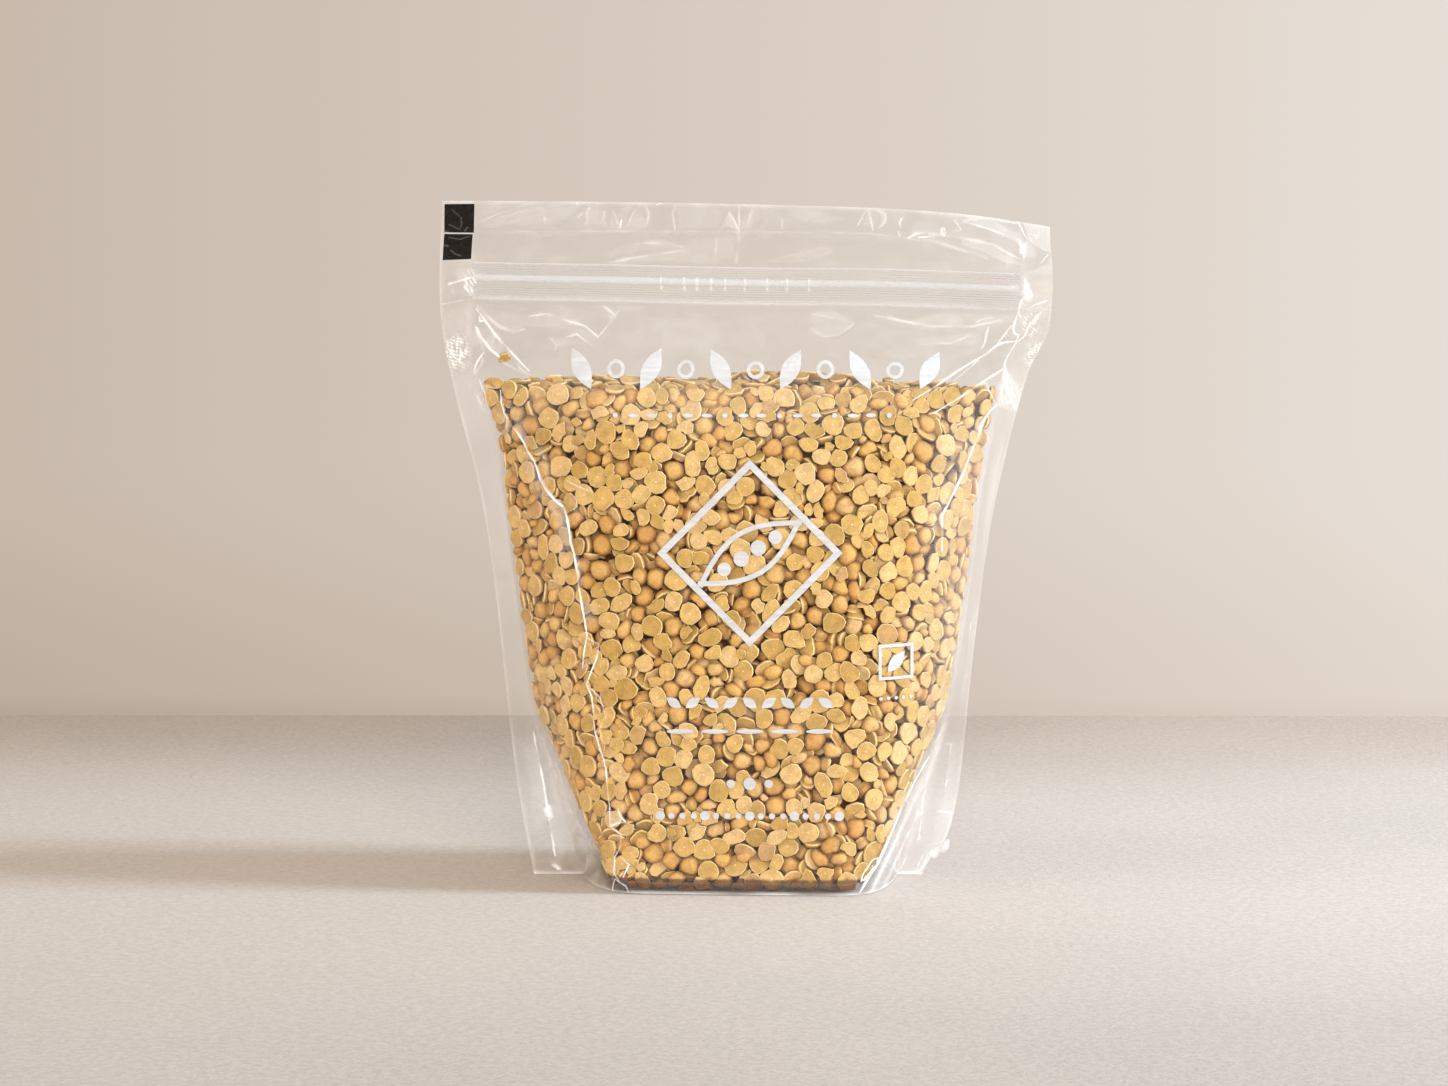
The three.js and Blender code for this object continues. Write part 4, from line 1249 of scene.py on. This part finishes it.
def frame_line(ink, x, height, length, width, turn, stroke, sides=4, pointed=False):
    """A closed outline of even stroke: a capped loop with its middle inset and taken out."""
    verts = spot(ink, x, height, length, width, turn, pointed, sides)
    face = verts[0].link_faces[0]
    bmesh.ops.inset_region(ink, faces=[face], thickness=stroke, use_boundary=True, use_even_offset=True)
    bmesh.ops.delete(ink, geom=[face], context="FACES_ONLY")


ink = bmesh.new()
for number in range(11):
    x = -43.0 + 9.1 * number
    if number % 2:
        frame_line(ink, x, 135.2, 4.6, 4.6, 0, 0.9, sides=24)
    else:
        spot(ink, x, 135.2, 11.4, 4.6, 62 if number % 4 else 118, pointed=True)
for number in range(16):
    spot(ink, -34.0 + 4.75 * number, 123.6, 2.7 if number % 3 else 1.3, 1.0 if number % 3 else 1.3)
frame_line(ink, 1.0, 88.5, 48.0, 48.0, 0, 1.7, sides=4)
frame_line(ink, 1.0, 88.5, 32.0, 12.6, 32, 1.3, sides=40, pointed=True)
for number in range(4):
    share = (number - 1.5) * 5.2
    spot(ink, 1.0 + share * math.cos(math.radians(32)), 88.5 + share * math.sin(math.radians(32)),
         4.3 - abs(number - 1.5) * 0.5)
frame_line(ink, 39.0, 60.0, 13.0, 13.0, 45, 0.8, sides=4)
spot(ink, 39.0, 60.0, 7.0, 3.2, 50, pointed=True)
for number in range(5):
    spot(ink, 35.0 + 2.0 * number, 50.6, 0.9)
for number in range(9):
    spot(ink, -18.6 + 4.9 * number, 50.0, 4.6, 2.4, 35 if number % 2 else -35, pointed=True)
for number in range(5):
    spot(ink, -17.0 + 9.0 * number, 42.6, 7.0, 1.2, sides=24)
for number in range(3):
    spot(ink, -3.9 + 4.9 * number, 29.0, 3.2 if number == 1 else 2.2)
for number in range(17):
    spot(ink, -22.2 + 2.9 * number, 20.6, 1.6 if number % 4 else 2.5, 1.6 if number % 4 else 2.5)
bmesh.ops.triangulate(ink, faces=ink.faces)
long_edges = [e for e in ink.edges if e.calc_length() > 3.0]
bmesh.ops.subdivide_edges(ink, edges=long_edges, cuts=2)
bmesh.ops.recalc_face_normals(ink, faces=ink.faces)
ink_mesh = as_mesh("white_print", ink)
flat = read_points(ink_mesh)
points, _ = film_surface(flat[:, 0], flat[:, 1], -1, raised=INK_LIFT)
keep_points(ink_mesh, points)


def white_ink():
    """Opaque white with faint streaks that are a painted sheen, and a roughness that varies along them."""
    paint = Finish("white_ink")
    streak = paint.node("ShaderNodeMapping", {}, {"Vector": paint.place(), "Scale": (160.0, 160.0, 900.0)})
    streaks = paint.grain(1.0, 3.0, 0.6, where=streak)
    # Painted sheen: faint lighter and darker streaks.
    tint = paint.blend(streaks.rise(0.35, 0.65), colour(186, 185, 184), colour(175, 174, 173))
    body = paint.node("ShaderNodeBsdfPrincipled", {}, {
        "Base Color": tint, "Roughness": streaks.rise(0.3, 0.7, 0.28, 0.42), "IOR": 1.45})
    return paint.see_through(streaks.rise(0.25, 0.6, 0.95, 0.90), body)


add_piece("white_print", ink_mesh, white_ink())

# ---------------------------------------------------------------------------------- corner marks
# Two plain black blocks of ink at the top left corner, one over the other, which the packing
# machine reads. Each has a thin pale border, and fine folds have cracked the ink.
MARKS = [
    [(-79.4, 168.8), (-71.3, 168.8), (-71.1, 176.6), (-79.3, 176.5)],
    [(-79.9, 161.5), (-72.1, 162.0), (-71.6, 168.7), (-79.4, 168.7)],
]
MARK_CRACKS = [
    (0.22, [(-79.5, 165.6), (-78.3, 165.4)]), (0.16, [(-77.6, 164.3), (-76.4, 163.4), (-74.9, 162.9)]),
    (0.20, [(-79.2, 169.3), (-78.2, 169.1)]), (0.12, [(-77.9, 171.0), (-75.2, 169.8)]),
    (0.12, [(-74.9, 170.2), (-74.6, 171.4), (-74.8, 172.6)]), (0.10, [(-77.2, 175.0), (-74.6, 172.6)]),
    (0.18, [(-73.8, 169.4), (-73.2, 170.3)]), (0.12, [(-78.0, 167.6), (-75.0, 167.2), (-72.6, 168.1)]),
]


def between_corners(corners, a, b):
    """The places that are a of the way across and b of the way up inside four corners."""
    weights = np.stack([(1 - a) * (1 - b), a * (1 - b), a * b, (1 - a) * b], axis=1)
    return (corners * weights[:, :, None]).sum(1)


marks = bmesh.new()
bmesh.ops.create_grid(marks, x_segments=44, y_segments=44, size=0.5)
other = bmesh.ops.create_grid(marks, x_segments=44, y_segments=44, size=0.5)
bmesh.ops.translate(marks, vec=(0, 0, 1), verts=other["verts"])
marks_mesh = as_mesh("corner_marks", marks)
flat = read_points(marks_mesh)
a, b = flat[:, 0] + 0.5, flat[:, 1] + 0.5
spots = between_corners(np.array(MARKS)[flat[:, 2].round().astype(int)], a, b)
points, _ = film_surface(spots[:, 0], spots[:, 1], -1, raised=INK_LIFT)
keep_points(marks_mesh, points)
marks_mesh.shade_smooth()
bare = np.zeros(len(spots))
for width, line in MARK_CRACKS:
    line = np.array(line)
    for start, end in zip(line[:-1], line[1:]):
        away = line_gap(spots[:, 0], spots[:, 1], start, end)
        bare = np.maximum(bare, smoothstep(away, width * 1.5, width * 0.5))
keep_layer(marks_mesh, "bare", bare)
keep_layer(marks_mesh, "edge", np.minimum(np.minimum(a, 1 - a), np.minimum(b, 1 - b)) * 8.0)


def black_ink():
    """Glossy black, bare and pale along the cracks, with a thin pale border."""
    paint = Finish("black_ink")
    rub = paint.grain(700.0, 3.0, 0.6)
    border = paint.layer("edge").rise(0.20, 0.08)
    bare_ink = (0.06 * paint.layer("bare") + 0.6 * border).clamped()
    shade = paint.blend(rub.rise(0.3, 0.7), colour(12, 9, 7), colour(22, 18, 15))
    tint = paint.blend(bare_ink, shade, colour(238, 234, 228))
    skin = paint.bump(paint.grain(260.0, 3.0, 0.6), 0.5, 0.0010)
    body = paint.node("ShaderNodeBsdfPrincipled", {}, {
        "Base Color": tint, "Roughness": rub.rise(0.3, 0.7, 0.16, 0.30), "IOR": 1.5,
        "Specular IOR Level": 0.07, "Normal": skin})
    return paint.see_through(0.98 - 0.72 * border, body)


add_piece("corner_marks", marks_mesh, black_ink())

# --------------------------------------------------------------------------------- folded corner
# The lower corner of the right seal has been bent forwards and pressed flat, so a narrow flap of
# the same film lies over the front there. It is whitened along the bend.
FLAP = [(49.9, 4.1), (54.1, 7.2), (54.2, 10.0), (48.4, 6.2)]
flap_mesh = grid_mesh("folded_corner", 16, 6)
flat = read_points(flap_mesh)
a, b = flat[:, 0] + 0.5, flat[:, 1] + 0.5
spots = between_corners(np.array([FLAP]), a, b)
lift = 0.25 + 1.1 * a * (1 - b) + 0.3 * np.sin(math.pi * a)
points, _ = film_surface(spots[:, 0], spots[:, 1], -1, raised=lift)
keep_points(flap_mesh, points)
flap_mesh.shade_smooth()
keep_layer(flap_mesh, "haze", np.clip(0.42 - 0.6 * np.abs(b - 0.45) + 0.10 * np.sin(9 * a), 0, 0.9))
add_piece("folded_corner", flap_mesh, film_material)

# ---------------------------------------------------------------------------------------- studio
# A pale matt floor, painted lighter to the right and darker at the front and by the backdrop, and a
# plain backdrop that glows with painted light, brighter to the right and darker at its foot; one
# small lamp low at the right, a wide soft fill in front, and the even light of a pale room.
def studio_sheet(name, turn, scale, place):
    """A plain flat sheet of the studio, one metre square before it is scaled."""
    slab = bmesh.new()
    bmesh.ops.create_grid(slab, x_segments=1, y_segments=1, size=0.5)
    bmesh.ops.rotate(slab, matrix=Matrix.Rotation(math.radians(turn), 3, "X"), verts=slab.verts)
    bmesh.ops.scale(slab, vec=scale, verts=slab.verts)
    bmesh.ops.translate(slab, vec=place, verts=slab.verts)
    sheet = bpy.data.objects.new(name, as_mesh(name, slab))
    bpy.context.scene.collection.objects.link(sheet)
    return sheet


floor = studio_sheet("studio_floor", 0, (6, 9, 1), (0, -1.20, -0.0003))
wall = studio_sheet("studio_wall", 90, (4, 1, 2.4), (0, 0.30, 1.199))


def floor_paint():
    paint = Finish("floor_paint")
    place = paint.place()
    speck = paint.grain(900.0, 3.0, 0.6)
    cloud = paint.grain(9.0, 3.0, 0.5)
    x = paint.node("ShaderNodeSeparateXYZ", {}, {"Vector": place}, out=0)
    y = paint.node("ShaderNodeSeparateXYZ", {}, {"Vector": place}, out=1)
    tint = paint.blend(cloud.rise(0.3, 0.7), colour(193, 182, 170), colour(189, 177, 164))
    # Painted light: lighter to the right, the lamp side.
    tint = paint.blend(x.rise(-0.25, 0.35), tint, colour(200, 190, 181))
    # Painted shade: darker towards the front.
    tint = paint.blend(y.rise(-0.02, -0.30), tint, colour(177, 166, 156))
    # Painted shade: darker by the foot of the backdrop, most on the left.
    painted_shade_by_wall = paint.blend(x.rise(-0.20, 0.30), colour(167, 151, 135), colour(186, 170, 156))
    tint = paint.blend(y.rise(0.10, 0.29), tint, painted_shade_by_wall)
    sand = paint.grain(520.0, 4.0, 0.7).rise(0.35, 0.65, -0.07, 0.07) + cloud.rise(0.3, 0.7, -0.03, 0.03)
    tint = paint.node("ShaderNodeHueSaturation", {}, {"Value": 1.0 + sand, "Color": tint})
    skin = paint.bump(speck, 0.35, 0.0006)
    return paint.surface(paint.node("ShaderNodeBsdfPrincipled", {}, {
        "Base Color": tint, "Roughness": 0.9, "Specular IOR Level": 0.1, "Normal": skin}))


def painted_backdrop_glow():
    """Painted light: the backdrop glows instead of being lit, brighter to the right and darker at its foot.
    It glows towards the bag only, so that the bag is also seen from behind the backdrop.
    """
    paint = Finish("painted_backdrop_glow")
    place = paint.place()
    x = paint.node("ShaderNodeSeparateXYZ", {}, {"Vector": place}, out=0)
    z = paint.node("ShaderNodeSeparateXYZ", {}, {"Vector": place}, out=2)
    # Painted light: the backdrop brightens to the right, the lamp side.
    across = paint.node("ShaderNodeValToRGB", {"ramp": [
        (0.0, colour(199, 184, 170)), (0.5, colour(217, 204, 192)), (1.0, colour(233, 225, 217))]},
        {0: (x + 0.27) / 0.54})
    # Painted shade: darker along the foot of the backdrop.
    low = paint.node("ShaderNodeValToRGB", {"ramp": [
        (0.0, colour(186, 169, 153)), (0.5, colour(202, 187, 172)), (1.0, colour(230, 218, 208))]},
        {0: (x + 0.27) / 0.54})
    tint = paint.blend(z.rise(0.09, -0.01, 0.0, 0.85), across, low)
    # Painted shade: darkest where the backdrop meets the floor, most on the left.
    tint = paint.blend(z.rise(0.008, 0.0, 0.0, 0.5), tint, paint.blend(
        x.rise(-0.3, 0.3), colour(176, 159, 141), colour(219, 205, 191)))
    glow = paint.node("ShaderNodeEmission", {}, {"Color": tint, "Strength": 1.0})
    return paint.see_through(1.0 - paint.node("ShaderNodeNewGeometry", out="Backfacing"), glow)


floor.data.materials.append(floor_paint())
wall.data.materials.append(painted_backdrop_glow())


def soft_lamp(name, place, aim, size, power, tint=(1, 1, 1), mirrored=True):
    light = bpy.data.lights.new(name, "AREA")
    light.shape = "RECTANGLE"
    light.size, light.size_y = size
    light.energy = power
    light.color = tint
    lamp = bpy.data.objects.new(name, light)
    lamp.location = place
    lamp.rotation_euler = (Vector(aim) - Vector(place)).to_track_quat("-Z", "Y").to_euler()
    lamp.visible_glossy = mirrored
    bpy.context.scene.collection.objects.link(lamp)


soft_lamp("key_lamp", (2.3, -0.24, 1.24), (0, 0, 0.05), (0.44, 0.68), 86.0, tint=(0.58, 0.77, 1.0))
soft_lamp("front_fill", (0.8, -4.0, 1.3), (0, 0, 0.08), (2.6, 1.8), 178.0, mirrored=False)
soft_lamp("left_fill", (-3.2, -1.3, 0.36), (0, 0, 0.08), (2.0, 0.5), 78.0, tint=(1.0, 0.88, 0.78),
          mirrored=False)
soft_lamp("right_fill", (2.8, -1.9, 0.36), (0, 0, 0.08), (2.0, 0.5), 44.0, tint=(1.0, 0.92, 0.82),
          mirrored=False)


def studio_glow(base, glows):
    """The room's own light: an even base, and wide soft glows, each a direction, how far from it
    the glow starts and ends in degrees, and how bright it is."""
    world = bpy.data.worlds.new("studio_world")
    sky = Finish("sky", world)
    where = sky.node("ShaderNodeTexCoord", out="Generated")
    total = base
    for way, wide, narrow, bright in glows:
        facing = sky.node("ShaderNodeVectorMath", {"operation": "DOT_PRODUCT"},
                          {0: where, 1: Vector(way).normalized()}, out="Value")
        edge, middle_part = math.cos(math.radians(wide)), math.cos(math.radians(narrow))
        total = facing.rise(edge, middle_part, 0.0, bright) + total
    light = sky.node("ShaderNodeBackground", {}, {"Color": colour(255, 250, 244), "Strength": total})
    bpy.context.scene.world = sky.surface(light, "ShaderNodeOutputWorld")


studio_glow(0.15, [((0.0, -0.10, 1.0), 60, 25, 0.65), ((1.0, -0.05, 0.20), 32, 8, 2.2),
                   ((-1.0, 0.0, 0.25), 32, 10, 0.6), ((0.10, -0.86, 0.52), 15, 13, 0.20)])

FOCAL_PIXELS = 4180
PHOTO_WIDTH = 1448
camera_data = bpy.data.cameras.new("camera")
camera_data.sensor_fit = "HORIZONTAL"
camera_data.sensor_width = 36
camera_data.lens = FOCAL_PIXELS / PHOTO_WIDTH * 36
camera = bpy.data.objects.new("camera", camera_data)
camera.location = (0, -1.1, 0.2)
camera.rotation_euler = (Vector((-0.0058, 0, 0.0887)) - camera.location).to_track_quat("-Z", "Y").to_euler()
bpy.context.scene.collection.objects.link(camera)
bpy.context.scene.camera = camera
bpy.context.scene.view_settings.view_transform = "Standard"
